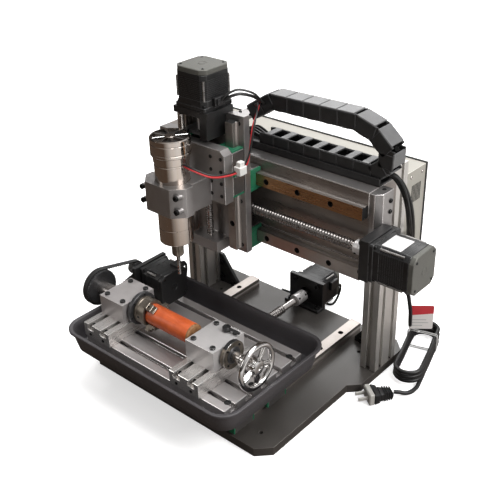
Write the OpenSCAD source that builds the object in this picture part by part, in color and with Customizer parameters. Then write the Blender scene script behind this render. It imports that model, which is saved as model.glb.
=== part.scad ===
// Bench-top gantry CNC router with a rotary axis on its table.
// The origin is the centre of the base plate's underside. +X is to the right, +Y to the back, +Z up.

/* [Base] */
// width of the base plate's rear part
base_w = 430; // [400:1:460]
// depth of the base plate, front to back
base_d = 367; // [340:1:400]
// thickness of the base plate
base_t = 15; // [10:1:20]
// step in on each side of the narrower front part
base_step = 17; // [0:1:30]

/* [Gantry] */
// width of a column seen from the front
column_w = 30; // [20:5:40]
// depth of a column, front to back
column_d = 60; // [40:5:80]
// clear width between the two columns
gantry_clear = 370; // [360:1:400]
// height of the beam's top face above the table that the machine stands on
beam_top = 378; // [340:1:420]
// height of the beam, bottom to top
beam_h = 143; // [120:1:160]
// depth of the beam, front to back
beam_d = 72; // [60:1:90]

/* [Table] */
// width of the slotted table
table_w = 306; // [260:1:320]
// depth of the slotted table
table_d = 178; // [150:1:200]
// height of the table's top face
table_top = 95; // [90:1:100]
// width of the drip tray over its rim
tray_w = 364; // [350:1:366]
// depth of the drip tray over its rim
tray_d = 245; // [230:1:260]
// height of the tray's rim
tray_top = 110; // [104:1:114]

/* [Spindle] */
// diameter of the spindle's body
spindle_dia = 52; // [48:1:56]
// length of the spindle's body below its cap
spindle_len = 132; // [110:1:150]
// diameter of the fan cap
cap_dia = 60; // [56:1:66]
// diameter of the cutter
cutter_dia = 6; // [3:1:8]

/* [Rotary axis] */
// height of the rotary axis
axis_z = 138; // [134:1:142]
// diameter of the workpiece
work_dia = 34; // [20:1:40]
// length of the workpiece
work_len = 94; // [40:1:96]
// outer diameter of the tailstock's handwheel
wheel_dia = 78; // [60:1:80]

/* [Motors] */
// side of the X motor's square flange
x_motor_w = 60; // [57:1:62]
// side of the other motors' square flanges
motor_w = 60; // [42:1:60]

/* [Mains lead] */
// diameter of the mains lead
cord_dia = 7; // [6:0.5:8]

/* [Hidden] */
$fn = 48;
slip = 0.05;
gap = 0.4;

// base plate
plate_front = -184;
plate_rear = plate_front + base_d;
plate_corner = 21;
flare_y = 24;
bolt_x = 162;
bolt_front_y = -150;
bolt_rear_y = 112;
bolt_hole_r = 3.5;

// columns
column_x = gantry_clear / 2 + column_w / 2;
column_y0 = 81;
slot_open = 8;
slot_deep = 7;
slot_lip = 2;
slot_inner = 13;

// Y axis
y_rail_x = 119;
y_rail_w = 20;
y_rail_h = 18;
y_rail_y0 = -170;
y_rail_y1 = 165;
y_screw_z = 40;
y_mount_y = 174;
runner_top = 53;
saddle_top = 70;
saddle_y0 = -186;
saddle_y1 = -62;
runner_ys = [-163, -85];
runner_len = 46;

// X axis
beam_y0 = column_y0 - beam_d;
beam_x0 = -190;
beam_x1 = 232;
beam_z0 = beam_top - beam_h;
end_block_x1 = 250;
end_block_d = 35;
end_block_h = 112;
x_rail_h = 13;
x_rail_zs = [251, 349];
x_screw_y = -9;
x_screw_z = 300;
x_plate_y0 = -33;
x_plate_t = 12;
x_mount_x1 = 266;
x_motor_len = 62;

// Z axis
z_x = -26;
z_y = -47;
z_w = 130;
z_base_z0 = 232;
z_base_z1 = 458;
z_rail_dx = 48;
z_rail_w = 15;
z_plate_y0 = -78;
z_plate_t = 18;
z_plate_z0 = 333;
z_plate_z1 = 418;
z_mount_z = 458;
z_mount_t = 10;
z_motor_len = 62;

// spindle
sp_y = -120;
sp_z0 = 273;
clamp_z0 = 328;
clamp_z1 = 374;
clamp_slit = 2;

// rotary axis
block_y0 = -186;
block_d = 68;
axis_y = block_y0 + block_d / 2;
block_z0 = 120;
block_h = 35;
head_x0 = -149;
head_x1 = -94;
tail_x0 = 47;
tail_x1 = 104;
shaft_r = 12.5;
quill_r = 8;
chuck_x0 = -83;
chuck_len = 22;
pulley_x0 = -199;
pulley_w = 15;
pulley_r = 31;
a_motor_y = -72;
small_r = 12;
belt_t = 1.5;
wheel_x = 158;
riser_w = 60;
riser_y0 = -222;
riser_y1 = -104;

// drag chain: half height of a link, its width and the corners of its middle line
link_half = 13;
chain_y0 = 37;
channel_x0 = -150;
chain_w = 32;
chain_low_z = beam_top + 3 + link_half;
chain_path = [[-10, 434], [30, 460], [182, 463], [214, 453], [238, 432],
              [237, 409], [218, chain_low_z], [10, chain_low_z]];

// controller
box_y0 = column_y0 + column_d;
box_d = 54;
box_z0 = 200;
box_z1 = 356;

// mains lead: it leaves the box's underside, drops behind the base and lies down beside it
cord_route = [[205, 172, 188], [205, 172, 170], [206, 175, 150], [208, 180, 128], [210, 186, 104],
              [212, 190, 80], [212, 192, 60], [211, 196, 46], [208, 205, 36], [204, 218, 32]];
plug_route = [[276, 128, 4], [280, 113, 4], [282, 100, 4], [281, 88, 4], [276, 78, 5], [269, 71, 8],
              [261, 63, 9]];
hank_a = [225, 226];
hank_b = [255, 122];
hank_w = 52;
hank_h = 35;
bundle_route = [[222, 53, 392], [236, 54, 392], [248, 57, 386], [255, 63, 370], [257, 72, 350],
                [255, 84, 325], [250, 98, 298], [243, 113, 274], [235, 128, 256], [226, 144, 246],
                [213, 158, 242]];
bundle_dia = 11;
wire_route = [[-2, -119, 401], [10, -116, 397], [30, -98, 385], [44, -80, 384], [54, -64, 388],
    [58, -52, 396], [58, -44, 410], [56, -36, 430], [52, -26, 448], [44, -10, 458], [30, 10, 462],
    [16, 24, 456], [4, 31, 448]];
wire_dia = 4;

// a box between two corners
module block(a, b) {
    translate(a)
    cube(b - a);
}

// a cylinder that starts at p and runs along X, Y or Z
module rod_x(p, r, l) {
    translate(p)
    rotate([0, 90, 0])
    cylinder(r = r, h = l);
}

module rod_y(p, r, l) {
    translate(p)
    rotate([-90, 0, 0])
    cylinder(r = r, h = l);
}

module rod_z(p, r, l) {
    translate(p)
    cylinder(r = r, h = l);
}

// the cross-section of one T-slot, cut down from y = 0
module slot_shape(open, inner, lip, deep) {
    translate([-open / 2, -deep])
    square([open, deep + 1]);
    translate([-inner / 2, -deep])
    square([inner, deep - lip]);
}

// a square with cut corners
module cut_square(w, cut) {
    h = w / 2;
    polygon([[-h + cut, -h], [h - cut, -h], [h, -h + cut], [h, h - cut],
             [h - cut, h], [-h + cut, h], [-h, h - cut], [-h, -h + cut]]);
}

// a stepper motor's body along +Z: a square flange and a body with cut corners
module motor_shape(w, len) {
    linear_extrude(height = 6)
    difference() {
        cut_square(w, 2);
        for (sx = [-1, 1], sy = [-1, 1])
        translate([sx * w * 0.413, sy * w * 0.413])
        circle(r = 2.5);
    }
    linear_extrude(height = len)
    cut_square(w - 1, w * 0.12);
}

// a motor's end cap along +Z with its small centre hole
module cap_shape(w, t) {
    difference() {
        linear_extrude(height = t)
        cut_square(w - 0.6, w * 0.14);
        translate([0, 0, t - 2])
        cylinder(r = 3, h = 3);
    }
}

// a rail along +X with side grooves and counterbored holes
module rail_shape(len, w, h) {
    pitch = 60;
    count = floor(len / pitch);
    start = (len - (count - 1) * pitch) / 2;
    difference() {
        rotate([90, 0, 90])
        linear_extrude(height = len)
        polygon([[-w / 2, 0], [w / 2, 0], [w / 2, h * 0.35], [w * 0.4, h * 0.5], [w / 2, h * 0.65],
                 [w / 2, h], [-w / 2, h], [-w / 2, h * 0.65], [-w * 0.4, h * 0.5], [-w / 2, h * 0.35]]);
        for (i = [0 : count - 1])
        translate([start + i * pitch, 0, -1]) {
            cylinder(r = 3, h = h + 2);
            translate([0, 0, h * 0.45 + 1])
            cylinder(r = 4.75, h = h);
        }
    }
}

// one ring of points for each point of a route, joined into a closed tube
function unit(v) = v / norm(v);
function along(p, i) = unit(p[min(i + 1, len(p) - 1)] - p[max(i - 1, 0)]);
function carry(side, t) = unit(side - (side * t) * t);
function sides_of(p, i, side) =
    let (s = carry(side, along(p, i)))
    i == len(p) - 1 ? [s] : concat([s], sides_of(p, i + 1, s));
function tube_points(p, r, n, ss) =
    [for (i = [0 : len(p) - 1], k = [0 : n - 1])
        let (t = along(p, i), s = ss[i], u = cross(t, s), a = 360 * k / n)
        p[i] + r * (cos(a) * s + sin(a) * u)];

module tube(p, d, n, side) {
    m = len(p);
    walls = [for (i = [0 : m - 2], k = [0 : n - 1])
        [i * n + k, i * n + (k + 1) % n, (i + 1) * n + (k + 1) % n, (i + 1) * n + k]];
    first = [for (k = [0 : n - 1]) n - 1 - k];
    last = [for (k = [0 : n - 1]) (m - 1) * n + k];
    polyhedron(points = tube_points(p, d / 2, n, sides_of(p, 0, side)),
               faces = [for (f = concat([first], walls, [last])) [for (i = [len(f) - 1 : -1 : 0]) f[i]]]);
}

// ---- fixed frame ----

module base_plate() {
    w = base_w / 2;
    n = w - base_step;
    color("#4a4744")
    difference() {
        linear_extrude(height = base_t)
        polygon([[-n + plate_corner, plate_front], [n - plate_corner, plate_front],
                 [n, plate_front + plate_corner], [n, flare_y], [w, flare_y + base_step],
                 [w, plate_rear - plate_corner], [w - plate_corner, plate_rear],
                 [-w + plate_corner, plate_rear], [-w, plate_rear - plate_corner],
                 [-w, flare_y + base_step], [-n, flare_y], [-n, plate_front + plate_corner]]);
        for (x = [-bolt_x, bolt_x], y = [bolt_front_y, bolt_rear_y])
        translate([x, y, -1])
        cylinder(r = bolt_hole_r, h = base_t + 2);
    }
}

module y_rails() {
    color("#c9c4bf")
    for (s = [-1, 1])
    translate([s * y_rail_x, y_rail_y0, base_t])
    rotate([0, 0, 90])
    rail_shape(y_rail_y1 - y_rail_y0, y_rail_w, y_rail_h);
}

module y_bearing() {
    color("#33322f")
    difference() {
        block([-30, -178, base_t], [30, -156, base_t + 36]);
        rod_y([0, -179, y_screw_z], 6 + slip, 24);
    }
}

module y_motor_mount() {
    color("#201f1f")
    difference() {
        union() {
            block([-40, y_mount_y, base_t], [38, y_mount_y + 9, y_screw_z + 31]);
            block([-40, y_mount_y - 16, base_t], [38, y_mount_y, base_t + 6]);
        }
        rod_y([0, y_mount_y - 1, y_screw_z], 12, 11);
    }
}

module y_motor() {
    color("#1e1d1d")
    translate([0, y_mount_y + 9, y_screw_z])
    rotate([-90, 0, 0])
    motor_shape(motor_w, 48);
}

module y_motor_cap() {
    color("#3a3a36")
    translate([0, y_mount_y + 57, y_screw_z])
    rotate([-90, 0, 0])
    cap_shape(motor_w, 8);
}

// a column is a slotted bar with its height along Z
module column_bar() {
    linear_extrude(height = beam_top - base_t)
    difference() {
        square([column_w, column_d]);
        for (y = [column_d / 4, column_d * 3 / 4]) {
            translate([column_w, y])
            rotate(-90)
            slot_shape(slot_open, slot_inner, slot_lip, slot_deep);
            translate([0, y])
            rotate(90)
            slot_shape(slot_open, slot_inner, slot_lip, slot_deep);
        }
        translate([column_w / 2, column_d])
        slot_shape(slot_open, slot_inner, slot_lip, slot_deep);
        translate([column_w / 2, 0])
        rotate(180)
        slot_shape(slot_open, slot_inner, slot_lip, slot_deep);
    }
}

module column_left() {
    color("#d5d0ca")
    translate([-column_x - column_w / 2, column_y0, base_t])
    column_bar();
}

module column_right() {
    color("#d5d0ca")
    translate([column_x - column_w / 2, column_y0, base_t])
    column_bar();
}

// each gusset stands behind the beam's column, on its inner face
module gussets() {
    reach = 48;
    rise = 62;
    t = 6;
    color("#232323")
    for (s = [-1, 1])
    translate([s * gantry_clear / 2, column_y0 + column_d - t, base_t])
    rotate([90, 0, 0])
    mirror([s > 0 ? 1 : 0, 0, 0])
    translate([0, 0, -t])
    linear_extrude(height = t)
    difference() {
        polygon([[0, 0], [reach, 0], [reach, 8], [8, rise], [0, rise]]);
        for (p = [[8, 14], [8, 44], [34, 7]])
        translate(p)
        circle(r = 2.75);
    }
}

module x_beam() {
    seat = 3;
    color("#a8a29c")
    difference() {
        translate([beam_x0, beam_y0, beam_z0])
        cube([beam_x1 - beam_x0, beam_d, beam_h]);
        block([beam_x0 - 1, beam_y0 - 1, x_rail_zs[0] + 14],
              [beam_x1 + 1, beam_y0 + seat, x_rail_zs[1] - 14]);
    }
}

module x_end_block() {
    cut = 9;
    w = end_block_x1 - beam_x1;
    color("#8f8a86")
    translate([beam_x1, beam_y0, beam_top - end_block_h])
    linear_extrude(height = end_block_h)
    polygon([[0, 0], [w - cut, 0], [w, cut], [w, end_block_d], [0, end_block_d]]);
}

module x_rails() {
    color("#b9b2ab")
    for (z = x_rail_zs)
    translate([beam_x0 + 10, beam_y0, z])
    rotate([90, 0, 0])
    rail_shape(beam_x1 - beam_x0 - 12, 20, x_rail_h);
}

module x_bearing() {
    x = beam_x0 + 12;
    color("#3a3937")
    difference() {
        block([x, beam_y0 - 29, x_screw_z - 24], [x + 18, beam_y0 + 3, x_screw_z + 24]);
        rod_x([x - 1, x_screw_y, x_screw_z], 6 + slip, 20);
    }
}

module x_motor_mount() {
    color("#242323")
    difference() {
        union() {
            block([end_block_x1, x_screw_y - 30, x_screw_z - 32],
                  [x_mount_x1, x_screw_y + 30, x_screw_z + 32]);
            block([end_block_x1, x_screw_y + 29, x_screw_z - 32],
                  [x_mount_x1, beam_y0 + end_block_d, x_screw_z + 20]);
        }
        rod_x([end_block_x1 - 1, x_screw_y, x_screw_z], 13, 16);
    }
}

module x_motor() {
    color("#1c1b1b")
    translate([x_mount_x1, x_screw_y, x_screw_z])
    rotate([0, 90, 0])
    motor_shape(x_motor_w, x_motor_len);
}

module x_motor_cap() {
    color("#55544e")
    translate([x_mount_x1 + x_motor_len, x_screw_y, x_screw_z])
    rotate([0, 90, 0])
    cap_shape(x_motor_w, 8);
}

module chain_channel() {
    wall = 3;
    y0 = chain_y0 - 4;
    y1 = chain_y0 + chain_w + 4;
    color("#1d1d1e")
    translate([channel_x0, 0, 0])
    rotate([90, 0, 90])
    linear_extrude(height = beam_x1 - channel_x0)
    polygon([[y0, beam_top], [y1, beam_top], [y1, beam_top + 12], [y1 - wall, beam_top + 12],
             [y1 - wall, beam_top + wall], [y0 + wall, beam_top + wall], [y0 + wall, beam_top + 12],
             [y0, beam_top + 12]]);
}

// a band of constant thickness that follows the chain's middle line
function normal_at(p, i) =
    let (t = unit(p[min(i + 1, len(p) - 1)] - p[max(i - 1, 0)]))
    [-t[1], t[0]];

module drag_chain() {
    outer = [for (i = [0 : len(chain_path) - 1]) chain_path[i] + link_half * normal_at(chain_path, i)];
    inner = [for (i = [len(chain_path) - 1 : -1 : 0]) chain_path[i] - link_half * normal_at(chain_path, i)];
    color("#222324")
    translate([0, chain_y0 + chain_w, 0])
    rotate([90, 0, 0])
    linear_extrude(height = chain_w)
    polygon(concat(outer, inner));
}

module chain_cables() {
    color("#17171a")
    tube(bundle_route, bundle_dia, 10, [0, 1, 0]);
}

module controller_box() {
    w = base_w / 2;
    gland = [205, 172];
    color("#b9b4a8")
    union() {
        block([-w, box_y0, box_z0], [w, box_y0 + box_d, box_z1]);
        rod_z([gland[0], gland[1], box_z0 - 12], 7, 13);
    }
}

module controller_panel() {
    w = base_w / 2;
    vents = [for (i = [-3 : 3]) i * 22];
    color("#2a2a2b")
    difference() {
        block([-w - 2, box_y0 + box_d, box_z0 - 2], [w + 2, box_y0 + box_d + 3, box_z1 + 2]);
        for (x = vents)
        block([x - 3, box_y0 + box_d - 1, 250], [x + 3, box_y0 + box_d + 4, 310]);
    }
}

// ---- table, moved along Y ----

module y_runners() {
    h = runner_top - base_t - 7;
    color("#8d8a86")
    for (s = [-1, 1], y = runner_ys)
    difference() {
        block([s * y_rail_x - 22, y - runner_len / 2, runner_top - h],
              [s * y_rail_x + 22, y + runner_len / 2, runner_top]);
        block([s * y_rail_x - y_rail_w / 2 - gap, y - runner_len / 2 - 1, 0],
              [s * y_rail_x + y_rail_w / 2 + gap, y + runner_len / 2 + 1, base_t + y_rail_h + gap]);
    }
}

module saddle() {
    color("#a7a29d")
    difference() {
        union() {
            block([-146, saddle_y0, runner_top], [146, saddle_y1, saddle_top]);
            block([-24, -140, y_screw_z - 14], [24, -90, runner_top]);
        }
        rod_y([0, -141, y_screw_z], 8 + slip, 52);
    }
}

// a tray is a rounded box that leans out to its rim
module tray_solid(w0, w1, d0, d1, z0, z1, r) {
    cy = -tray_d / 2 - 3;
    hull() {
        translate([0, cy, z0])
        linear_extrude(height = 0.5)
        offset(r = r)
        square([w0 - 2 * r, d0 - 2 * r], center = true);
        translate([0, cy, z1 - 0.5])
        linear_extrude(height = 0.5)
        offset(r = r)
        square([w1 - 2 * r, d1 - 2 * r], center = true);
    }
}

module tray() {
    lean = 16;
    lip = 5;
    t = 3;
    color("#3b3a3d")
    difference() {
        union() {
            tray_solid(tray_w - 2 * lip - lean, tray_w - 2 * lip,
                       tray_d - 2 * lip - lean, tray_d - 2 * lip, saddle_top, tray_top, 28);
            tray_solid(tray_w, tray_w, tray_d, tray_d, tray_top - 4, tray_top, 33);
        }
        tray_solid(tray_w - 2 * lip - 2 * t - lean, tray_w - 2 * lip - 2 * t,
                   tray_d - 2 * lip - 2 * t - lean, tray_d - 2 * lip - 2 * t,
                   saddle_top + t, tray_top + 1, 25);
    }
}

module table() {
    y0 = -218;
    pitch = 35;
    z0 = saddle_top + 3;
    h = table_top - z0;
    color("#b6b0ac")
    translate([-table_w / 2, 0, 0])
    rotate([90, 0, 90])
    linear_extrude(height = table_w)
    difference() {
        translate([y0, z0])
        square([table_d, h]);
        for (i = [0 : 4])
        translate([y0 + table_d / 2 + (i - 2) * pitch, table_top])
        slot_shape(8, 15, 4, 11);
    }
}

// each riser is a slotted bar laid front to back
module risers() {
    w = riser_w;
    h = block_z0 - table_top;
    color("#d8d3ce")
    for (x = [(head_x0 + head_x1) / 2, (tail_x0 + tail_x1) / 2])
    translate([x, riser_y1, table_top])
    rotate([90, 0, 0])
    linear_extrude(height = riser_y1 - riser_y0)
    difference() {
        translate([-w / 2, 0])
        square([w, h]);
        for (s = [-1, 1])
        translate([s * w / 4, h])
        slot_shape(8, 15, 4, 11);
    }
}

// the screw heads on top of a headstock or tailstock block
module head_screws(x0, x1) {
    inset = 9;
    for (x = [x0 + inset, x1 - inset], y = [block_y0 + inset, block_y0 + block_d - inset])
    rod_z([x, y, block_z0 + block_h - 1], 4.25, 4);
}

module headstock() {
    color("#bcb5b1")
    difference() {
        union() {
            block([head_x0, block_y0, block_z0], [head_x1, block_y0 + block_d, block_z0 + block_h]);
            head_screws(head_x0, head_x1);
        }
        rod_x([head_x0 - 1, axis_y, axis_z], shaft_r + slip, head_x1 - head_x0 + 2);
    }
}

module tailstock() {
    color("#d9d5d2")
    difference() {
        union() {
            block([tail_x0, block_y0, block_z0], [tail_x1, block_y0 + block_d, block_z0 + block_h]);
            rod_x([tail_x1 - 1, axis_y, axis_z], 17.5, 4);
            rod_x([tail_x1 + 2.5, axis_y, axis_z], 23, 7);
            head_screws(tail_x0, tail_x1);
        }
        rod_x([tail_x0 - 1, axis_y, axis_z], quill_r + slip, tail_x1 - tail_x0 + 12);
        rod_z([tail_x1 - 24, block_y0 + block_d - 12, block_z0 + block_h - 8], 3 + slip, 10);
    }
}

module a_motor_mount() {
    color("#262627")
    difference() {
        block([-152, a_motor_y - 40, table_top], [-144, a_motor_y + 32, axis_z + 32]);
        block([-153, a_motor_y - 41, table_top - 1], [-143, riser_y1, block_z0]);
        rod_x([-153, a_motor_y, axis_z], 12, 10);
    }
}

module a_motor() {
    color("#1f1e1e")
    translate([-144, a_motor_y, axis_z])
    rotate([0, 90, 0])
    motor_shape(motor_w, 52);
}

// the belt runs round the driven pulley and the small pulley
module a_belt() {
    grow = 0.2;
    color("#161617")
    translate([pulley_x0 + 2.5, 0, 0])
    rotate([90, 0, 90])
    linear_extrude(height = 10)
    difference() {
        hull() {
            translate([axis_y, axis_z])
            circle(r = pulley_r + grow + belt_t);
            translate([a_motor_y, axis_z])
            circle(r = small_r + grow + belt_t);
        }
        hull() {
            translate([axis_y, axis_z])
            circle(r = pulley_r + grow);
            translate([a_motor_y, axis_z])
            circle(r = small_r + grow);
        }
    }
}

// ---- turning screws ----

module y_screw() {
    color("#cfcac4")
    union() {
        rod_y([0, -150, y_screw_z], 8, 252);
        rod_y([0, -177, y_screw_z], 6, 29);
        rod_y([0, 100, y_screw_z], 6, 42);
        rod_y([0, 138, y_screw_z], 11, 26);
        rod_y([0, 160, y_screw_z], 4, 22);
    }
}

module x_screw() {
    x0 = beam_x0 + 31;
    x1 = 226;
    color("#c8c3be")
    union() {
        rod_x([x0, x_screw_y, x_screw_z], 8, x1 - x0 - 6);
        rod_x([x0 - 19, x_screw_y, x_screw_z], 6, 20);
        rod_x([x1 - 7, x_screw_y, x_screw_z], 6, 8);
        rod_x([x1, x_screw_y, x_screw_z], 11, 25);
        rod_x([x1 + 24, x_screw_y, x_screw_z], 4, 15);
    }
}

module z_screw() {
    color("#c8c3be")
    union() {
        rod_z([z_x, z_y, 253], 6, 168);
        rod_z([z_x, z_y, 236], 4, 18);
        rod_z([z_x, z_y, 420], 4, 16);
        rod_z([z_x, z_y, 430], 11, 24);
        rod_z([z_x, z_y, 452], 3, 14);
    }
}

// ---- X carriage ----

module x_runners() {
    color("#77736f")
    for (z = x_rail_zs)
    difference() {
        block([z_x - 62, x_plate_y0 + x_plate_t, z - 18], [z_x + 62, beam_y0 - 2, z + 18]);
        block([z_x - 63, beam_y0 - x_rail_h - gap, z - 10 - gap], [z_x + 63, beam_y0, z + 10 + gap]);
    }
}

// the carriage plate carries the X nut, the lower Z bearing and the drag chain's bracket
module x_plate() {
    h = z_w / 2;
    back = x_plate_y0 + x_plate_t;
    color("#b4aea8")
    difference() {
        union() {
            block([z_x - h, x_plate_y0, z_base_z0], [z_x + h, back, z_base_z1]);
            block([z_x - 24, back, x_screw_z - 22], [z_x + 24, beam_y0 - 3, x_screw_z + 22]);
            block([z_x - 28, z_y - 15, z_base_z0], [z_x + 28, x_plate_y0 + 1, z_base_z0 + 18]);
            block([z_x - 14, x_plate_y0 + 2, 424], [z_x + 16, chain_y0 + chain_w, 428]);
        }
        rod_x([z_x - 25, x_screw_y, x_screw_z], 8 + slip, 50);
        rod_z([z_x, z_y, z_base_z0 - 1], 4 + slip, 20);
    }
}

module z_rails() {
    color("#c4bfba")
    for (s = [-1, 1])
    translate([z_x + s * z_rail_dx, x_plate_y0, z_base_z0 + 8])
    rotate([90, -90, 0])
    rail_shape(z_base_z1 - z_base_z0 - 16, z_rail_w, 14);
}

// the open bracket round the coupling, with the upper bearing, the top plate and the front pillar
module z_motor_mount() {
    color("#1f1f20")
    difference() {
        union() {
            block([z_x - 34, z_y - 30, z_mount_z],
                  [z_x + 34, x_plate_y0 + x_plate_t, z_mount_z + z_mount_t]);
            block([z_x - 22, z_y - 14, 423], [z_x + 22, x_plate_y0, 429]);
            block([z_x + 16, z_y - 28, 425], [z_x + 30, x_plate_y0, z_mount_z + 1]);
            rod_z([z_x - 27, z_y - 23, 425], 5, z_mount_z - 424);
            block([z_x - 32, z_y - 28, 423], [z_x - 20, x_plate_y0, 428]);
        }
        rod_z([z_x, z_y, 422], 4 + slip, 8);
        rod_z([z_x, z_y, z_mount_z - 1], 12, z_mount_t + 2);
    }
}

module z_motor() {
    color("#1d1c1c")
    translate([z_x, z_y, z_mount_z + z_mount_t])
    motor_shape(motor_w, z_motor_len - 8);
}

module z_motor_cap() {
    color("#5b5a54")
    translate([z_x, z_y, z_mount_z + z_mount_t + z_motor_len - 8])
    cap_shape(motor_w, 8);
}

// ---- Z carriage ----

module z_runners() {
    z0 = z_plate_z0 + 5;
    z1 = z_plate_z1 - 5;
    color("#4c4b49")
    for (s = [-1, 1])
    difference() {
        block([z_x + s * z_rail_dx - 17, z_plate_y0 + z_plate_t, z0],
              [z_x + s * z_rail_dx + 17, x_plate_y0 - 2, z1]);
        block([z_x + s * z_rail_dx - z_rail_w / 2 - gap, x_plate_y0 - 14 - gap, z0 - 1],
              [z_x + s * z_rail_dx + z_rail_w / 2 + gap, x_plate_y0, z1 + 1]);
    }
}

// the slide plate carries the Z nut and the clamp's rear half
module z_plate() {
    h = z_w / 2;
    cut = 8;
    color("#8f8b88")
    difference() {
        union() {
            translate([0, z_plate_y0 + z_plate_t, 0])
            rotate([90, 0, 0])
            linear_extrude(height = z_plate_t)
            polygon([[z_x - h, z_plate_z0], [z_x + h, z_plate_z0],
                     [z_x + h, z_plate_z1 - cut], [z_x + h - cut, z_plate_z1],
                     [z_x - h + cut, z_plate_z1], [z_x - h, z_plate_z1 - cut]]);
            block([z_x - 18, z_plate_y0 + 1, 352], [z_x + 18, x_plate_y0 - 2, 396]);
            block([z_x - 37, sp_y + clamp_slit / 2, clamp_z0], [z_x + 37, z_plate_y0 + 1, clamp_z1]);
        }
        rod_z([z_x, z_y, 351], 6 + slip, 46);
        rod_z([z_x, sp_y, clamp_z0 - 1], spindle_dia / 2 + slip, clamp_z1 - clamp_z0 + 2);
    }
}

module clamp_front() {
    depth = 32;
    ear = 42;
    face = 25;
    color("#8a8886")
    difference() {
        union() {
            translate([z_x, sp_y - clamp_slit / 2, clamp_z0])
            linear_extrude(height = clamp_z1 - clamp_z0)
            polygon([[-ear, 0], [-ear, -14], [-face, -depth], [face, -depth], [ear, -14], [ear, 0]]);
            for (s = [-1, 1], z = [clamp_z0 + 12, clamp_z1 - 12])
            rod_y([z_x + s * 35, sp_y - clamp_slit / 2 - 27, z], 4.25, 26);
        }
        rod_z([z_x, sp_y, clamp_z0 - 1], spindle_dia / 2 + slip, clamp_z1 - clamp_z0 + 2);
    }
}

module spindle_body() {
    r = spindle_dia / 2;
    color("#a9a5a2")
    difference() {
        union() {
            rod_z([z_x, sp_y, sp_z0], r, spindle_len);
            rod_z([z_x, sp_y, sp_z0 - 4], 17, 5);
        }
        rod_z([z_x, sp_y, sp_z0 - 5], 7 + slip, 24);
    }
}

module fan_cap() {
    r = cap_dia / 2;
    z0 = sp_z0 + spindle_len;
    color("#b5b1ae")
    difference() {
        union() {
            rod_z([z_x, sp_y, z0], r - 3, 10);
            rod_z([z_x, sp_y, z0 + 9], r, 28);
        }
        for (i = [0 : 7])
        translate([z_x, sp_y, z0 + 30])
        rotate([0, 0, i * 45])
        translate([9, -3, 0])
        cube([15, 6, 8]);
    }
}

module spindle_wires() {
    color("#a8282c")
    tube(wire_route, wire_dia, 8, [0, 0, 1]);
}

module collet_nut() {
    color("#8f8678")
    union() {
        rod_z([z_x, sp_y, sp_z0 - 4 - gap - 24], 9.3, 24);
        rod_z([z_x, sp_y, sp_z0 - 12], 7, 28);
    }
}

module cutter() {
    top = sp_z0 - 4 - gap - 24;
    color("#b9b5ae")
    union() {
        rod_z([z_x, sp_y, top - 20], cutter_dia / 2, 20);
        rod_z([z_x, sp_y, top - 34], cutter_dia / 2 - 1, 15);
    }
}

// ---- rotary axis ----

// the driven pulley, the shaft through the headstock and the flange behind the chuck
module head_spindle() {
    color("#2b2a2b")
    union() {
        rod_x([pulley_x0, axis_y, axis_z], pulley_r, pulley_w);
        rod_x([pulley_x0 + pulley_w - 1, axis_y, axis_z], shaft_r, chuck_x0 - pulley_x0 - pulley_w + 1);
        rod_x([chuck_x0 - 7.5, axis_y, axis_z], 28, 7.5);
    }
}

module chuck() {
    r_in = work_dia / 2 + slip;
    jaw_len = 18;
    color("#a39c90")
    translate([chuck_x0, axis_y, axis_z])
    rotate([0, 90, 0])
    union() {
        cylinder(r = 22.5, h = chuck_len);
        for (a = [90, 210, 330])
        rotate([0, 0, a])
        difference() {
            translate([r_in - 3, -6, chuck_len - 1])
            cube([15, 12, jaw_len + 1]);
            translate([0, 0, chuck_len])
            cylinder(r = r_in, h = jaw_len + 1);
        }
    }
}

module workpiece() {
    color("#c9512a")
    rod_x([chuck_x0 + chuck_len + gap, axis_y, axis_z], work_dia / 2, work_len);
}

module a_pulley() {
    color("#8b8883")
    union() {
        rod_x([pulley_x0, a_motor_y, axis_z], small_r, pulley_w);
        rod_x([pulley_x0 + pulley_w - 1, a_motor_y, axis_z], 3.2, 39);
    }
}

module tail_quill() {
    tip = chuck_x0 + chuck_len + gap + work_len;
    color("#d0cdca")
    union() {
        rod_x([tip + 18, axis_y, axis_z], quill_r, wheel_x - 28 - gap - tip - 18);
        translate([tip + gap, axis_y, axis_z])
        rotate([0, 90, 0])
        cylinder(r1 = 1, r2 = quill_r, h = 18);
    }
}

module handwheel() {
    rim = 4.5;
    r = wheel_dia / 2 - rim;
    color("#d6d4d2")
    translate([wheel_x, axis_y, axis_z])
    rotate([0, 90, 0])
    union() {
        rotate_extrude()
        translate([r, 0])
        circle(r = rim, $fn = 24);
        translate([0, 0, -28])
        cylinder(r = 7, h = 30);
        translate([0, 0, -8])
        cylinder(r = 12, h = 14);
        for (i = [0 : 4])
        rotate([0, 0, i * 72])
        translate([8, -3.5, -2])
        cube([r - 8, 7, 4]);
    }
}

module lock_lever() {
    x = tail_x1 - 24;
    y = block_y0 + block_d - 12;
    z = block_z0 + block_h;
    color("#1b1b1c")
    union() {
        rod_z([x, y, z - 7], 3, 10);
        rod_z([x, y, z + gap], 6.5, 8);
        block([x, y - 3.5, z + 4], [x + 26, y + 3.5, z + 8]);
    }
}

// ---- mains lead ----

module mains_cord() {
    color("#161617")
    union() {
        tube(cord_route, cord_dia, 8, [0, 1, 0]);
        tube(plug_route, cord_dia, 8, [0, 0, 1]);
    }
}

module cord_hank() {
    color("#161617")
    linear_extrude(height = hank_h)
    hull() {
        translate(hank_a)
        circle(d = hank_w);
        translate(hank_b)
        circle(d = hank_w);
    }
}

module mains_plug() {
    color("#1c1c1d")
    translate([262, 64.5, 0])
    rotate([0, 0, 143])
    union() {
        translate([-11, 0, 0])
        cube([22, 26, 18]);
        translate([-16, 26, 0])
        cube([32, 20, 22]);
        for (x = [-9, 6])
        translate([x, 45, 8])
        cube([3, 17, 6]);
    }
}

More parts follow.
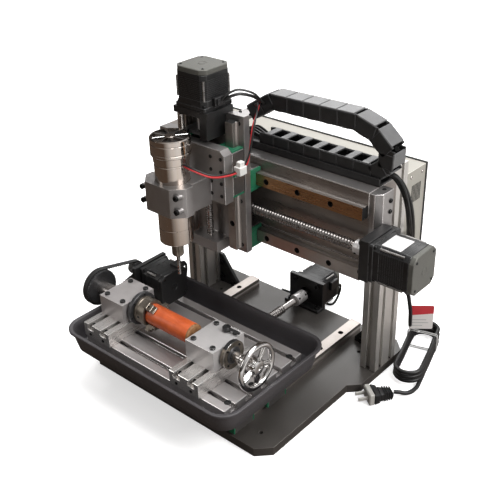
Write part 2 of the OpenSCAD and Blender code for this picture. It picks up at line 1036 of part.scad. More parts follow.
module hang_tag() {
    color("#efe9e4")
    translate([205, 187, 40])
    rotate([0, 0, 38])
    translate([4, -0.5, 0])
    cube([44, 1, 50]);
}

base_plate();
y_rails();
y_bearing();
y_motor_mount();
y_motor();
y_motor_cap();
column_left();
column_right();
gussets();
x_beam();
x_end_block();
x_rails();
x_bearing();
x_motor_mount();
x_motor();
x_motor_cap();
chain_channel();
drag_chain();
chain_cables();
controller_box();
controller_panel();
mains_cord();
cord_hank();
mains_plug();
hang_tag();
y_runners();
saddle();
tray();
table();
risers();
headstock();
tailstock();
a_motor_mount();
a_motor();
a_belt();
y_screw();
x_screw();
z_screw();
x_runners();
x_plate();
z_rails();
z_motor_mount();
z_motor();
z_motor_cap();
z_runners();
z_plate();
clamp_front();
spindle_body();
fan_cap();
spindle_wires();
collet_nut();
cutter();
head_spindle();
chuck();
workpiece();
a_pulley();
tail_quill();
handwheel();
lock_lever();
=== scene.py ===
import math

import bmesh
import bpy
from mathutils import Matrix, Vector


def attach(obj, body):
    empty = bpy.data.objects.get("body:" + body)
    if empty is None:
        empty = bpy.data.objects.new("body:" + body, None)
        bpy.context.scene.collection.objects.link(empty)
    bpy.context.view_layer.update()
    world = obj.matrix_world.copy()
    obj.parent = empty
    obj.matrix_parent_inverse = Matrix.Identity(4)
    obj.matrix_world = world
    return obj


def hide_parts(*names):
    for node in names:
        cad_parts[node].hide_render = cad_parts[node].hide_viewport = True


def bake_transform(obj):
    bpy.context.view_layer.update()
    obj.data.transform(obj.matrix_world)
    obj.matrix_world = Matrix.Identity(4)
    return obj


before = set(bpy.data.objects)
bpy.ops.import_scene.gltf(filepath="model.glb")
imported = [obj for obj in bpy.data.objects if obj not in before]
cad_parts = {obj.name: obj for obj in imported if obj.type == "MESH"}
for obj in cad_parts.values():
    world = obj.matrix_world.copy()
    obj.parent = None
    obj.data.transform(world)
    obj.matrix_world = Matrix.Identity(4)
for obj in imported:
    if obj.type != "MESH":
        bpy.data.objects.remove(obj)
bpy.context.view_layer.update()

MM = 0.001
PI = math.pi
SHARP = math.radians(32)

# ---------------------------------------------------------------- camera

CAMERA_AT = (0.7885, -0.8692, 0.8751)
ROLL = math.radians(-1.27)
forward = Vector((-0.5814, 0.6605, -0.4751)).normalized()
right = Vector((0.7506, 0.6608, 0.0)).normalized()
up = right.cross(forward)
right_r = math.cos(ROLL) * right + math.sin(ROLL) * up
up_r = math.cos(ROLL) * up - math.sin(ROLL) * right

camera = bpy.data.objects.new("camera", bpy.data.cameras.new("camera"))
bpy.context.scene.collection.objects.link(camera)
camera.matrix_world = Matrix((
    (right_r.x, up_r.x, -forward.x, CAMERA_AT[0]),
    (right_r.y, up_r.y, -forward.y, CAMERA_AT[1]),
    (right_r.z, up_r.z, -forward.z, CAMERA_AT[2]),
    (0, 0, 0, 1)))
camera.data.sensor_width = 36
camera.data.lens = 59.15
camera.data.shift_x = -0.0064
camera.data.shift_y = -0.0352
camera.data.clip_start = 0.05
camera.data.clip_end = 60
bpy.context.scene.camera = camera

# ---------------------------------------------------------------- materials


def mixed(color, k):
    """The colour k times as bright, with an alpha of 1."""
    return tuple(min(1.0, c * k) for c in color) + (1,)


def material(name, color, metal=0.0, rough=0.4, var=0.1, scale=40, stretch=(1, 1, 1), bump=0.1,
             grain=500, rvar=0.1, coat=0.0, second=None, spread=0.5, ior=1.5, streak=(1, 1, 1)):
    """A procedural finish: cloudy colour, uneven roughness and a fine grain that may be stretched."""
    m = bpy.data.materials.new(name)
    m.use_nodes = True
    nt = m.node_tree
    shader = nt.nodes["Principled BSDF"]
    shader.inputs["Metallic"].default_value = metal
    shader.inputs["IOR"].default_value = ior
    shader.inputs["Coat Weight"].default_value = coat
    shader.inputs["Coat Roughness"].default_value = 0.25
    coord = nt.nodes.new("ShaderNodeTexCoord")

    def noise(size, detail, axes):
        mapping = nt.nodes.new("ShaderNodeMapping")
        mapping.inputs["Scale"].default_value = axes
        nt.links.new(coord.outputs["Object"], mapping.inputs["Vector"])
        n = nt.nodes.new("ShaderNodeTexNoise")
        n.inputs["Scale"].default_value = size
        n.inputs["Detail"].default_value = detail
        nt.links.new(mapping.outputs["Vector"], n.inputs["Vector"])
        return n.outputs["Fac"]

    cloud = noise(scale, 5, streak)
    fine = noise(grain, 3, stretch)
    ramp = nt.nodes.new("ShaderNodeValToRGB")
    ramp.color_ramp.elements[0].position = 0.5 - spread / 2
    ramp.color_ramp.elements[1].position = 0.5 + spread / 2
    ramp.color_ramp.elements[0].color = mixed(color, 1 - var)
    ramp.color_ramp.elements[1].color = mixed(second or color, 1 + var)
    nt.links.new(cloud, ramp.inputs["Fac"])
    tint = nt.nodes.new("ShaderNodeMix")
    tint.data_type = "RGBA"
    tint.blend_type = "MULTIPLY"
    tint.inputs["Factor"].default_value = min(1.0, var * 2.5)
    shade = nt.nodes.new("ShaderNodeValToRGB")
    shade.color_ramp.elements[0].position = 0.35
    shade.color_ramp.elements[1].position = 0.65
    shade.color_ramp.elements[0].color = (0.75, 0.75, 0.75, 1)
    shade.color_ramp.elements[1].color = (1, 1, 1, 1)
    nt.links.new(fine, shade.inputs["Fac"])
    nt.links.new(ramp.outputs["Color"], tint.inputs["A"])
    nt.links.new(shade.outputs["Color"], tint.inputs["B"])
    nt.links.new(tint.outputs["Result"], shader.inputs["Base Color"])
    spreader = nt.nodes.new("ShaderNodeMapRange")
    spreader.inputs["From Min"].default_value = 0.3
    spreader.inputs["From Max"].default_value = 0.7
    spreader.inputs["To Min"].default_value = max(0.02, rough - rvar / 2)
    spreader.inputs["To Max"].default_value = min(1.0, rough + rvar / 2)
    nt.links.new(cloud if stretch == (1, 1, 1) else fine, spreader.inputs["Value"])
    nt.links.new(spreader.outputs["Result"], shader.inputs["Roughness"])
    bumper = nt.nodes.new("ShaderNodeBump")
    bumper.inputs["Strength"].default_value = bump
    bumper.inputs["Distance"].default_value = 0.0004
    nt.links.new(fine, bumper.inputs["Height"])
    nt.links.new(bumper.outputs["Normal"], shader.inputs["Normal"])
    return m


ALONG_X = (0.04, 1, 1)
ALONG_Y = (1, 0.04, 1)
ALONG_Z = (1, 1, 0.04)
M = {
    "base": material("base_paint", (0.068, 0.062, 0.057), 0.15, 0.42, 0.12, 18, bump=0.25, grain=1400, coat=0.15),
    "base_edge": material("base_paint_edge", (0.16, 0.145, 0.135), 0.3, 0.4, 0.25, 90, bump=0.2, grain=900),
    "black": material("black_paint", (0.014, 0.014, 0.0145), 0.1, 0.38, 0.2, 60, bump=0.25, grain=1600, coat=0.1),
    "black_edge": material("black_paint_edge", (0.045, 0.044, 0.044), 0.4, 0.35, 0.4, 150, bump=0.1),
    "motor": material("motor_black", (0.008, 0.008, 0.0085), 0.1, 0.42, 0.25, 50, bump=0.12, grain=1200, coat=0.1),
    "motor_edge": material("motor_black_edge", (0.05, 0.05, 0.05), 0.4, 0.3, 0.3, 160, bump=0.1),
    "stack": material("motor_stack", (0.32, 0.31, 0.30), 0.9, 0.32, 0.35, 120, (1, 1, 30), 0.5, 60, 0.2),
    "cap": material("motor_cap", (0.105, 0.104, 0.092), 0.2, 0.52, 0.15, 70, bump=0.45, grain=1100),
    "cap_edge": material("motor_cap_edge", (0.13, 0.13, 0.115), 0.3, 0.45, 0.2, 90, bump=0.3),
    "column": material("clear_aluminium", (0.66, 0.64, 0.61), 0.75, 0.36, 0.08, 12, ALONG_Z, 0.12, 900, 0.12),
    "column_edge": material("clear_aluminium_edge", (0.75, 0.74, 0.72), 0.85, 0.25, 0.08, 30, ALONG_Z),
    "riser": material("riser_aluminium", (0.66, 0.64, 0.62), 0.75, 0.30, 0.08, 20, ALONG_Y, 0.12, 900, 0.12),
    "riser_edge": material("riser_aluminium_edge", (0.85, 0.84, 0.82), 0.85, 0.2, 0.06, 30, ALONG_Y),
    "beam": material("beam_aluminium", (0.27, 0.245, 0.23), 0.78, 0.33, 0.12, 9, ALONG_X, 0.12, 800, 0.14,
                     second=(0.31, 0.275, 0.25)),
    "beam_edge": material("beam_aluminium_edge", (0.55, 0.52, 0.5), 0.85, 0.25, 0.1, 30, ALONG_X),
    "plate": material("plate_aluminium", (0.33, 0.315, 0.31), 0.85, 0.38, 0.1, 14, ALONG_X, 0.15, 700, 0.14),
    "plate_edge": material("plate_aluminium_edge", (0.62, 0.6, 0.59), 0.85, 0.25, 0.1, 40),
    "milled": material("milled_aluminium", (0.50, 0.475, 0.47), 0.6, 0.36, 0.09, 26, ALONG_X, 0.14, 900, 0.12),
    "milled_edge": material("milled_aluminium_edge", (0.8, 0.78, 0.77), 0.8, 0.22, 0.06, 50),
    "bright": material("bright_aluminium", (0.70, 0.68, 0.675), 0.5, 0.34, 0.06, 26, ALONG_X, 0.12, 900, 0.1),
    "bright_edge": material("bright_aluminium_edge", (0.85, 0.84, 0.83), 0.8, 0.22, 0.06, 50),
    "rail": material("rail_steel", (0.40, 0.365, 0.34), 0.9, 0.36, 0.14, 22, ALONG_X, 0.1, 900, 0.12),
    "rail_edge": material("rail_steel_edge", (0.8, 0.77, 0.74), 0.95, 0.18, 0.1, 60),
    "rail_warm": material("rail_steel_warm", (0.40, 0.21, 0.10), 0.9, 0.3, 0.1, 16, ALONG_X, 0.1, 900, 0.12,
                          second=(0.44, 0.26, 0.14)),
    "rail_warm_edge": material("rail_steel_warm_edge", (0.7, 0.58, 0.5), 0.95, 0.2, 0.1, 60),
    # hole: a near-black finish laid on bores, recesses and slits wherever a hollow is drawn as a dark surface:
    # painted shade
    "hole": material("hole_painted_shade", (0.012, 0.012, 0.012), 0.3, 0.6, 0.3, 200, bump=0.2),
    "runner": material("runner_steel", (0.20, 0.19, 0.185), 0.85, 0.34, 0.15, 60, ALONG_X, 0.15, 800),
    "runner_edge": material("runner_steel_edge", (0.5, 0.49, 0.48), 0.9, 0.25, 0.1, 60),
    "seal": material("seal_green", (0.012, 0.14, 0.07), 0.0, 0.42, 0.2, 90, bump=0.25, grain=1200),
    "chain": material("chain_plastic", (0.018, 0.0185, 0.019), 0.0, 0.42, 0.25, 70, bump=0.35, grain=1500),
    "chain_edge": material("chain_plastic_edge", (0.05, 0.05, 0.052), 0.0, 0.4, 0.3, 120, bump=0.2),
    "chain_top": material("chain_cover", (0.12, 0.121, 0.123), 0.0, 0.36, 0.15, 60, bump=0.35, grain=1500),
    "tray": material("tray_plastic", (0.066, 0.062, 0.066), 0.0, 0.46, 0.12, 24, bump=0.45, grain=1300),
    "case": material("case_paint", (0.37, 0.355, 0.315), 0.0, 0.5, 0.05, 14, bump=0.35, grain=1500),
    "case_edge": material("case_paint_edge", (0.6, 0.58, 0.53), 0.0, 0.5, 0.08, 60, bump=0.3),
    "panel": material("panel_paint", (0.022, 0.022, 0.023), 0.1, 0.45, 0.2, 40, bump=0.4, grain=1500),
    "panel_edge": material("panel_paint_edge", (0.07, 0.07, 0.07), 0.3, 0.4, 0.2, 90),
    "cord": material("cord_jacket", (0.010, 0.010, 0.0105), 0.0, 0.42, 0.2, 90, bump=0.25, grain=1800),
    "plug": material("plug_moulding", (0.014, 0.014, 0.015), 0.0, 0.4, 0.2, 80, bump=0.3, grain=1500),
    "adapter": material("adapter_plastic", (0.52, 0.51, 0.48), 0.0, 0.4, 0.06, 60, bump=0.2, grain=1300),
    "tie": material("tie_plastic", (0.55, 0.55, 0.54), 0.0, 0.4, 0.08, 90, bump=0.2),
    "card": material("tag_card", (0.78, 0.75, 0.73), 0.0, 0.5, 0.04, 60, bump=0.15, grain=900),
    "card_red": material("tag_red", (0.55, 0.035, 0.045), 0.0, 0.45, 0.06, 60, bump=0.15, grain=900),
    "belt": material("belt_rubber", (0.014, 0.014, 0.014), 0.0, 0.6, 0.25, 200, bump=0.4, grain=1600),
    "gear": material("pulley_dark", (0.085, 0.085, 0.088), 0.6, 0.38, 0.3, 120, bump=0.2),
    "gear_edge": material("pulley_dark_edge", (0.18, 0.18, 0.18), 0.8, 0.3, 0.2, 120),
    "screw": material("screw_steel", (0.55, 0.52, 0.50), 0.95, 0.22, 0.15, 80, bump=0.1, grain=900),
    "thread": material("thread_steel", (0.30, 0.28, 0.27), 0.95, 0.26, 0.3, 150, bump=0.15, grain=900),
    "socket": material("socket_screw", (0.012, 0.012, 0.012), 0.5, 0.34, 0.3, 300, bump=0.1),
    # spindle chrome: the brownish second colour drawn out into vertical streaks along z is painted reflection
    "chrome": material("spindle_chrome", (0.62, 0.59, 0.56), 1.0, 0.08, 0.1, 42, ALONG_Z, 0.0, 300, 0.04,
                       second=(0.50, 0.41, 0.34), spread=0.3, streak=(1, 1, 0.015)),
    "chrome_edge": material("spindle_chrome_edge", (0.8, 0.79, 0.78), 1.0, 0.12, 0.05, 60),
    "wheel": material("wheel_chrome", (0.72, 0.71, 0.70), 1.0, 0.09, 0.08, 40, bump=0.03, grain=250, rvar=0.06),
    "tool": material("tool_steel", (0.17, 0.145, 0.115), 0.85, 0.38, 0.3, 70, bump=0.15, grain=700,
                     second=(0.25, 0.22, 0.185)),
    "tool_edge": material("tool_steel_edge", (0.42, 0.37, 0.32), 0.9, 0.28, 0.1, 90),
    "carbide": material("cutter_steel", (0.35, 0.34, 0.33), 0.95, 0.2, 0.2, 200, bump=0.1),
    "orange": material("orange_work", (0.62, 0.10, 0.022), 0.0, 0.42, 0.12, 60, (0.06, 1, 1), 0.35, 700,
                       second=(0.70, 0.135, 0.035), coat=0.15),
    "tan": material("work_end", (0.30, 0.135, 0.05), 0.0, 0.6, 0.25, 160, bump=0.4, grain=700,
                    second=(0.38, 0.20, 0.09)),
    "red": material("wire_red", (0.50, 0.018, 0.022), 0.0, 0.38, 0.12, 120, bump=0.15),
    "wire": material("wire_black", (0.012, 0.012, 0.012), 0.0, 0.4, 0.2, 120, bump=0.15),
    "white": material("connector_white", (0.72, 0.71, 0.68), 0.0, 0.4, 0.05, 100, bump=0.15),
    "label": material("blank_label", (0.66, 0.65, 0.65), 0.0, 0.35, 0.04, 90, bump=0.08, coat=0.3),
}

# ---------------------------------------------------------------- mesh building, in millimetres

# the rotary axis and its motor run along x at these y and z, and the spindle along z at this x and y
WORK_Y, DRIVE_Y, AXIS_Z = -152, -72, 138
SPINDLE_X, SPINDLE_Y = -26, -120
PLACE = {"x": lambda u, v, w: (w, u, v), "y": lambda u, v, w: (u, w, v), "z": lambda u, v, w: (u, v, w)}


def at(centre, axis, u, v, w):
    """A point given round an axis: u and v across it, w along it from the centre."""
    return Vector(centre) + Vector(PLACE[axis](u, v, w))


class Piece:
    """Gathers closed solids, each with its own finish, into one mesh."""

    def __init__(self, name):
        self.name = name
        self.bm = bmesh.new()
        self.finishes = []

    def index(self, finish):
        if finish not in self.finishes:
            self.finishes.append(finish)
        return self.finishes.index(finish)

    def take(self, part, finish, bevel=0.0):
        """Adds a solid. A bevel chamfers its sharp edges, in the finish's own edge colour."""
        bmesh.ops.recalc_face_normals(part, faces=part.faces)
        main = self.index(finish)
        for f in part.faces:
            f.material_index = main
        if bevel:
            edge = self.index(finish + "_edge") if finish + "_edge" in M else main
            sharp = [e for e in part.edges if len(e.link_faces) == 2 and e.calc_face_angle(0) > SHARP]
            if sharp:
                bmesh.ops.bevel(part, geom=sharp, offset=bevel * MM, segments=1, affect="EDGES",
                                clamp_overlap=True, material=edge)
        mesh = bpy.data.meshes.new("part")
        part.to_mesh(mesh)
        part.free()
        self.bm.from_mesh(mesh)
        bpy.data.meshes.remove(mesh)
        return self

    def box(self, low, high, finish, bevel=0.5):
        part = bmesh.new()
        bmesh.ops.create_cube(part, size=1)
        for v in part.verts:
            v.co = Vector([((low[i] + high[i]) / 2 + v.co[i] * (high[i] - low[i])) * MM for i in range(3)])
        return self.take(part, finish, bevel)

    def loft(self, rings, finish, bevel=0.0, ring_closed=False):
        """Joins rings of equally many points. Both ends are closed, or the last ring joins the first."""
        part = bmesh.new()
        loops = [[part.verts.new(Vector(p) * MM) for p in ring] for ring in rings]
        if not ring_closed:
            part.faces.new(loops[0])
            part.faces.new(loops[-1])
        for a, b in zip(loops, loops[1:] + (loops[:1] if ring_closed else [])):
            for i in range(len(a)):
                j = (i + 1) % len(a)
                part.faces.new((a[i], b[i], b[j], a[j]))
        return self.take(part, finish, bevel)

    def prism(self, outline, axis, centre, start, end, finish, bevel=0.4):
        return self.loft([[at(centre, axis, u, v, w) for u, v in outline] for w in (start, end)], finish, bevel)

    def lathe(self, centre, axis, profile, finish, n=48, hexed=(), wobble=None, bevel=0.0):
        """Turns (radius, height) pairs round an axis. Rings named in hexed are hexagons."""
        part = bmesh.new()
        rings = []
        for k, (r, w) in enumerate(profile):
            if r <= 0:
                rings.append([part.verts.new(at(centre, axis, 0, 0, w) * MM)])
                continue
            ring = []
            for i in range(n):
                a = 2 * PI * i / n
                q = r / math.cos(a % (PI / 3) - PI / 6) if k in hexed else r
                q = wobble(q, a, w) if wobble else q
                ring.append(part.verts.new(at(centre, axis, q * math.cos(a), q * math.sin(a), w) * MM))
            rings.append(ring)
        for a, b in zip(rings, rings[1:] + rings[:1]):
            if len(a) == 1 and len(b) == 1:
                continue
            for i in range(n):
                j = (i + 1) % n
                if len(a) == 1:
                    part.faces.new((a[0], b[i], b[j]))
                elif len(b) == 1:
                    part.faces.new((a[i], b[0], a[j]))
                else:
                    part.faces.new((a[i], b[i], b[j], a[j]))
        return self.take(part, finish, bevel)

    def ring(self, centre, axis, inner, outer, start, end, finish, n=48):
        """A plain ring, or a disc where inner is 0."""
        profile = [(inner, start), (outer, start), (outer, end), (inner, end)]
        return self.lathe(centre, axis, profile, finish, n)

    def rod(self, centre, axis, r, start, end, finish, chamfer=0.4, n=32):
        c = min(chamfer, r / 2) * (1 if end > start else -1)
        s = abs(c)
        return self.lathe(centre, axis, [(0, start), (r - s, start), (r, start + c), (r, end - c),
                                         (r - s, end), (0, end)], finish, n)

    def bolt(self, centre, axis, r, h, finish="socket"):
        """A socket head screw that stands h out of the surface, with its hexagon recess."""
        s = 1 if h > 0 else -1
        return self.lathe(centre, axis, [(0, 0), (r, 0), (r, h - 0.5 * s), (r - 0.5, h), (r * 0.6, h),
                                         (r * 0.5, h - 0.2 * s),
                                         (r * 0.5, h * 0.45), (0, h * 0.45)], finish, 24, hexed=(5, 6))

    def bolts(self, xs, ys, zs, axis, r, h, finish="socket"):
        """One screw at every mix of the three lists of coordinates."""
        for x in xs:
            for y in ys:
                for z in zs:
                    self.bolt((x, y, z), axis, r, h, finish)
        return self

    def tube(self, points, r, finish, n=10, smooth=True, flat=1.0):
        """A round bar along a line. flat below 1 squashes it across."""
        path = curve_through(points) if smooth else [Vector(p) for p in points]
        rings = []
        side = Vector((0.31, 0.52, 0.8))
        for i, p in enumerate(path):
            t = (path[min(i + 1, len(path) - 1)] - path[max(i - 1, 0)]).normalized()
            side = (side - side.dot(t) * t).normalized()
            other = t.cross(side)
            angles = [2 * PI * k / n for k in range(n)]
            rings.append([p + r * (math.cos(a) * side + flat * math.sin(a) * other) for a in angles])
        return self.loft(rings, finish)

    def thread(self, centre, axis, r, start, end, finish, pitch=5.0, depth=0.9, n=24, per_turn=7):
        """A screw's round groove, as real geometry."""
        count = int((end - start) / pitch * per_turn)
        rings = []
        for k in range(count + 1):
            w = start + (end - start) * k / count
            ring = []
            for i in range(n):
                q = r - depth * (0.5 + 0.5 * math.cos(2 * PI * (w / pitch - i / n))) ** 0.7
                a = 2 * PI * i / n
                ring.append(at(centre, axis, q * math.cos(a), q * math.sin(a), w))
            rings.append(ring)
        return self.loft(rings, finish)

    def skin(self, node, finish, bevel=0.4, choose=None):
        """A CAD node's own shape with chamfered edges. choose may give a face another finish."""
        part = bmesh.new()
        part.from_mesh(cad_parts[node].data)
        bmesh.ops.remove_doubles(part, verts=part.verts, dist=1e-5)
        bmesh.ops.dissolve_limit(part, angle_limit=math.radians(0.5), verts=part.verts, edges=part.edges)
        self.take(part, finish, bevel)
        if choose:
            main = self.index(finish)
            for f in self.bm.faces:
                if f.material_index == main:
                    other = choose(f.calc_center_median() / MM, f.normal)
                    if other:
                        f.material_index = self.index(other)
        return self

    def done(self, body, *nodes, slot=None):
        """Makes the object, ties it to its body and hides the CAD nodes that it stands for."""
        for e in self.bm.edges:
            e.smooth = len(e.link_faces) == 2 and e.calc_face_angle(0) < SHARP
        for f in self.bm.faces:
            f.smooth = True
        mesh = bpy.data.meshes.new(self.name)
        self.bm.to_mesh(mesh)
        self.bm.free()
        for finish in self.finishes:
            mesh.materials.append(M[finish])
        piece = bpy.data.objects.new(self.name, mesh)
        bpy.context.scene.collection.objects.link(piece)
        if body:
            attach(piece, body)
        if nodes:
            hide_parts(*nodes)
        return piece


def curve_through(points, step=2.5):
    """A smooth line through every point."""
    p = [Vector(q) for q in points]
    p = [2 * p[0] - p[1]] + p + [2 * p[-1] - p[-2]]
    line = []
    for i in range(1, len(p) - 2):
        n = max(2, int((p[i + 1] - p[i]).length / step))
        for k in range(n):
            t = k / n
            line.append(0.5 * (2 * p[i] + (p[i + 1] - p[i - 1]) * t
                               + (2 * p[i - 1] - 5 * p[i] + 4 * p[i + 1] - p[i + 2]) * t * t
                               + (3 * p[i] - p[i - 1] - 3 * p[i + 1] + p[i + 2]) * t ** 3))
    line.append(p[-2])
    return line


def cut_square(w, cut):
    """A square's outline with its corners cut off."""
    h = w / 2
    return [(-h + cut, -h), (h - cut, -h), (h, -h + cut), (h, h - cut), (h - cut, h), (-h + cut, h), (-h, h - cut),
            (-h, -h + cut)]


# ---------------------------------------------------------------- mains lead

CORD_R = 3.5
TURN_R = 22
HANK_A, HANK_B = Vector((225, 226, 0)), Vector((255, 122, 0))
DROP = [(205, 172, 188), (205, 172, 170), (206, 175, 150), (208, 180, 128), (210, 186, 104), (212, 190, 80),
        (212, 192, 60), (211, 196, 46), (208, 205, 36)]
TO_PLUG = [(280, 113, 3.8), (282, 100, 3.8), (281, 88, 4), (276, 78, 5), (269, 71, 8), (262.5, 65.5, 9)]
along = (HANK_B - HANK_A).normalized()
across = Vector((along.y, -along.x, 0))


def hank_points(laps=4, low=3.6, high=31.4):
    """Turns of one radius on top of each other, from the top one down to the floor."""
    run = (HANK_B - HANK_A).length
    lap = []
    for k in range(9):
        a = PI * k / 8
        lap.append(HANK_A + TURN_R * (math.cos(a) * across - math.sin(a) * along))
    for k in (1, 2, 3):
        lap.append(HANK_A - TURN_R * across + along * run * k / 4)
    for k in range(9):
        a = PI * k / 8
        lap.append(HANK_B + TURN_R * (-math.cos(a) * across + math.sin(a) * along))
    for k in (1, 2, 3):
        lap.append(HANK_B + TURN_R * across - along * run * k / 4)
    n = len(lap)
    total = laps * n - 14
    points = []
    for i in range(total + 1):
        p = lap[i % n].copy()
        loose = 0.5 * math.sin(i * 1.7) if 3 < i < total - 3 else 0
        p += loose * across
        p.z = high + (low - high) * i / total
        points.append(p)
    return points


hank_line = hank_points()
cord_line = curve_through([Vector(p) for p in DROP] + hank_line + [Vector(p) for p in TO_PLUG])

lead = Piece("mains_lead")
lead.tube(cord_line, CORD_R, "cord", 12, smooth=False)
lead = lead.done("frame", "mains_cord", "cord_hank", slot="cord_jacket")

relief = Piece("strain_relief")
relief.lathe((205, 172, 188), "z", [(0, 0), (6.6, 0), (6.4, -4), (5.9, -5), (5.9, -7), (6.1, -8), (5.7, -9),
                                    (5.7, -11),
                                    (5.9, -12), (5.4, -13), (5.4, -15), (5.6, -16), (5.1, -17), (5.1, -19),
                                    (5.3, -20),
                                    (4.7, -22), (4.6, -28), (4.2, -30), (0, -30)], "plug", 24)
relief.lathe((205, 172, 188), "z", [(0, 12.5), (9, 12), (9, 5), (8.4, 4.5), (8.4, 0.5), (7.6, 0), (0, 0)], "plug", 24,
             hexed=(1, 2))
relief = relief.done("frame", slot="cord_jacket")

tie = Piece("cord_tie")
middle = (HANK_A + HANK_B) / 2 - along * 34
for shift in (-2.2, 2.2):
    ring = []
    for u, v in ((-26, 3), (-26, 32), (-23.5, 35), (23.5, 35), (26, 32), (26, 3), (23.5, 0.9), (-23.5, 0.9),
                 (-26, 3)):
        ring.append(middle + along * shift + across * u + Vector((0, 0, v)))
    tie.tube(ring, 0.8, "tie", 8, smooth=False)
tie.tube([middle + across * 6 + Vector((0, 0, 34)), middle + across * 9 + along * 3 + Vector((0, 0, 35))], 1.8,
         "tie", 8)
tie = tie.done("frame", slot="tag_card")


PLUG_AT, PLUG_TURN = (262, 64.5), 143
TAG_AT, TAG_TURN = (205, 187, 40), 38


def turned(part_points, origin, degrees):
    """Points given beside the plug, turned to where it lies."""
    c, s = math.cos(math.radians(degrees)), math.sin(math.radians(degrees))
    return [Vector((origin[0] + c * x - s * y, origin[1] + s * x + c * y, z)) for x, y, z in part_points]


def plug_block(piece, x0, x1, y0, y1, z0, z1, finish, taper=1.0, bevel=1.2):
    """A moulded block whose far end may be narrower, turned with the plug."""
    mid, zm = (x0 + x1) / 2, (z0 + z1) / 2
    rings = [[(mid + (x - mid) * k, y, z0 + (z - z0) * (k if z > zm else 1))
              for x, z in ((x0, z0), (x1, z0), (x1, z1), (x0, z1))] for y, k in ((y0, taper), (y1, 1.0))]
    piece.loft([turned(ring, PLUG_AT, PLUG_TURN) for ring in rings], finish, bevel)


plug = Piece("mains_plug_body")
plug_block(plug, -11, 11, 1, 27, 0.2, 18, "plug", 0.62, 2.2)
for k in range(4):
    plug_block(plug, -8.5 - k * 0.5, 8.5 + k * 0.5, 4 + k * 4, 6 + k * 4, 0.2, 15.5 + k * 0.6, "plug", 1, 0.5)
plug_block(plug, -16, 16, 26, 37, 0.2, 21.5, "plug", 0.86, 2.2)
plug_block(plug, -15.5, 15.5, 37, 46, 0.4, 21.8, "adapter", 1, 1.6)
for x in (-9, 6):
    plug_block(plug, x, x + 3, 45, 62, 8, 14, "adapter", 1, 0.5)
plug_block(plug, -1.8, 1.8, 45, 58, 3, 6.6, "adapter", 1, 0.5)
plug = plug.done("frame", "mains_plug", slot="cord_jacket")

tag = Piece("tag")


def tag_point(u, v, w):
    """A point u along the card, v up it and w out of it."""
    c, s = math.cos(math.radians(TAG_TURN)), math.sin(math.radians(TAG_TURN))
    return Vector(TAG_AT) + Vector((c * u - s * w, s * u + c * w, v))


def tag_slab(outline, w0, w1, finish):
    tag.loft([[tag_point(u, v, w) for u, v in outline] for w in (w0, w1)], finish)


tag_slab([(8, 2), (46, 2), (48, 4), (48, 48), (46, 50), (10, 50), (8, 46)], -0.35, 0.35, "card")
for side in (-1, 1):
    tag_slab([(8, 30), (48, 34), (48, 48), (46, 50), (10, 50), (8, 46)], side * 0.36, side * 0.5, "card_red")
    for v, end in ((8, 30), (14, 40), (20, 36)):
        tag_slab([(12, v), (end, v), (end, v + 2), (12, v + 2)], side * 0.36, side * 0.45, "tie")
tag.tube([tag_point(*p) for p in ((11, 46, 0), (6, 50, 1), (3, 51, 4), (1, 49, 4))], 0.6, "tie", 6)
tag = tag.done("frame", "hang_tag", slot="tag_card")

# ---------------------------------------------------------------- frame

Piece("base").skin("base_plate", "base", 1.2).done("frame", "base_plate", slot="base_paint")


def rail_holes(across_axis, centres, deep_axis, floor, top):
    """Paints the walls and floors of a rail's counterbores near-black: painted shade in the holes."""
    def choose(c, n):
        near = any(abs(c[across_axis] - q) < 5.2 for q in centres)
        inside = min(floor, top) < c[deep_axis] < max(floor, top)
        return "hole" if near and inside else None
    return choose


def x_rail_finish(c, n):
    # the upper X rail's counterbores get the same painted shade
    if rail_holes(2, (251, 349), 1, 8.8, -3.4)(c, n):
        return "hole"
    return "rail_warm" if c.z > 330 and -80 < c.x and abs(c.z - 349) < 8.6 else None


Piece("y_rail_pair").skin("y_rails", "rail", 0.4, rail_holes(0, (-119, 119), 2, 15.2, 32.4)).done(
    "frame", "y_rails", slot="rail_steel")
Piece("x_rail_pair").skin("x_rails", "rail", 0.4, x_rail_finish).done("frame", "x_rails", slot="rail_steel")

bearing = Piece("y_screw_bearing").skin("y_bearing", "black", 0.6)
bearing.bolts((-22, 22), (-167,), (51,), "z", 3.6, 2.5)
bearing.lathe((0, -178, 40), "y", [(6.6, 0), (10, 0), (10.5, -0.6), (10.5, -1.6), (10, -2), (6.6, -2)], "screw", 32)
bearing.done("frame", "y_bearing", slot="black_paint")


SHEETS = 11


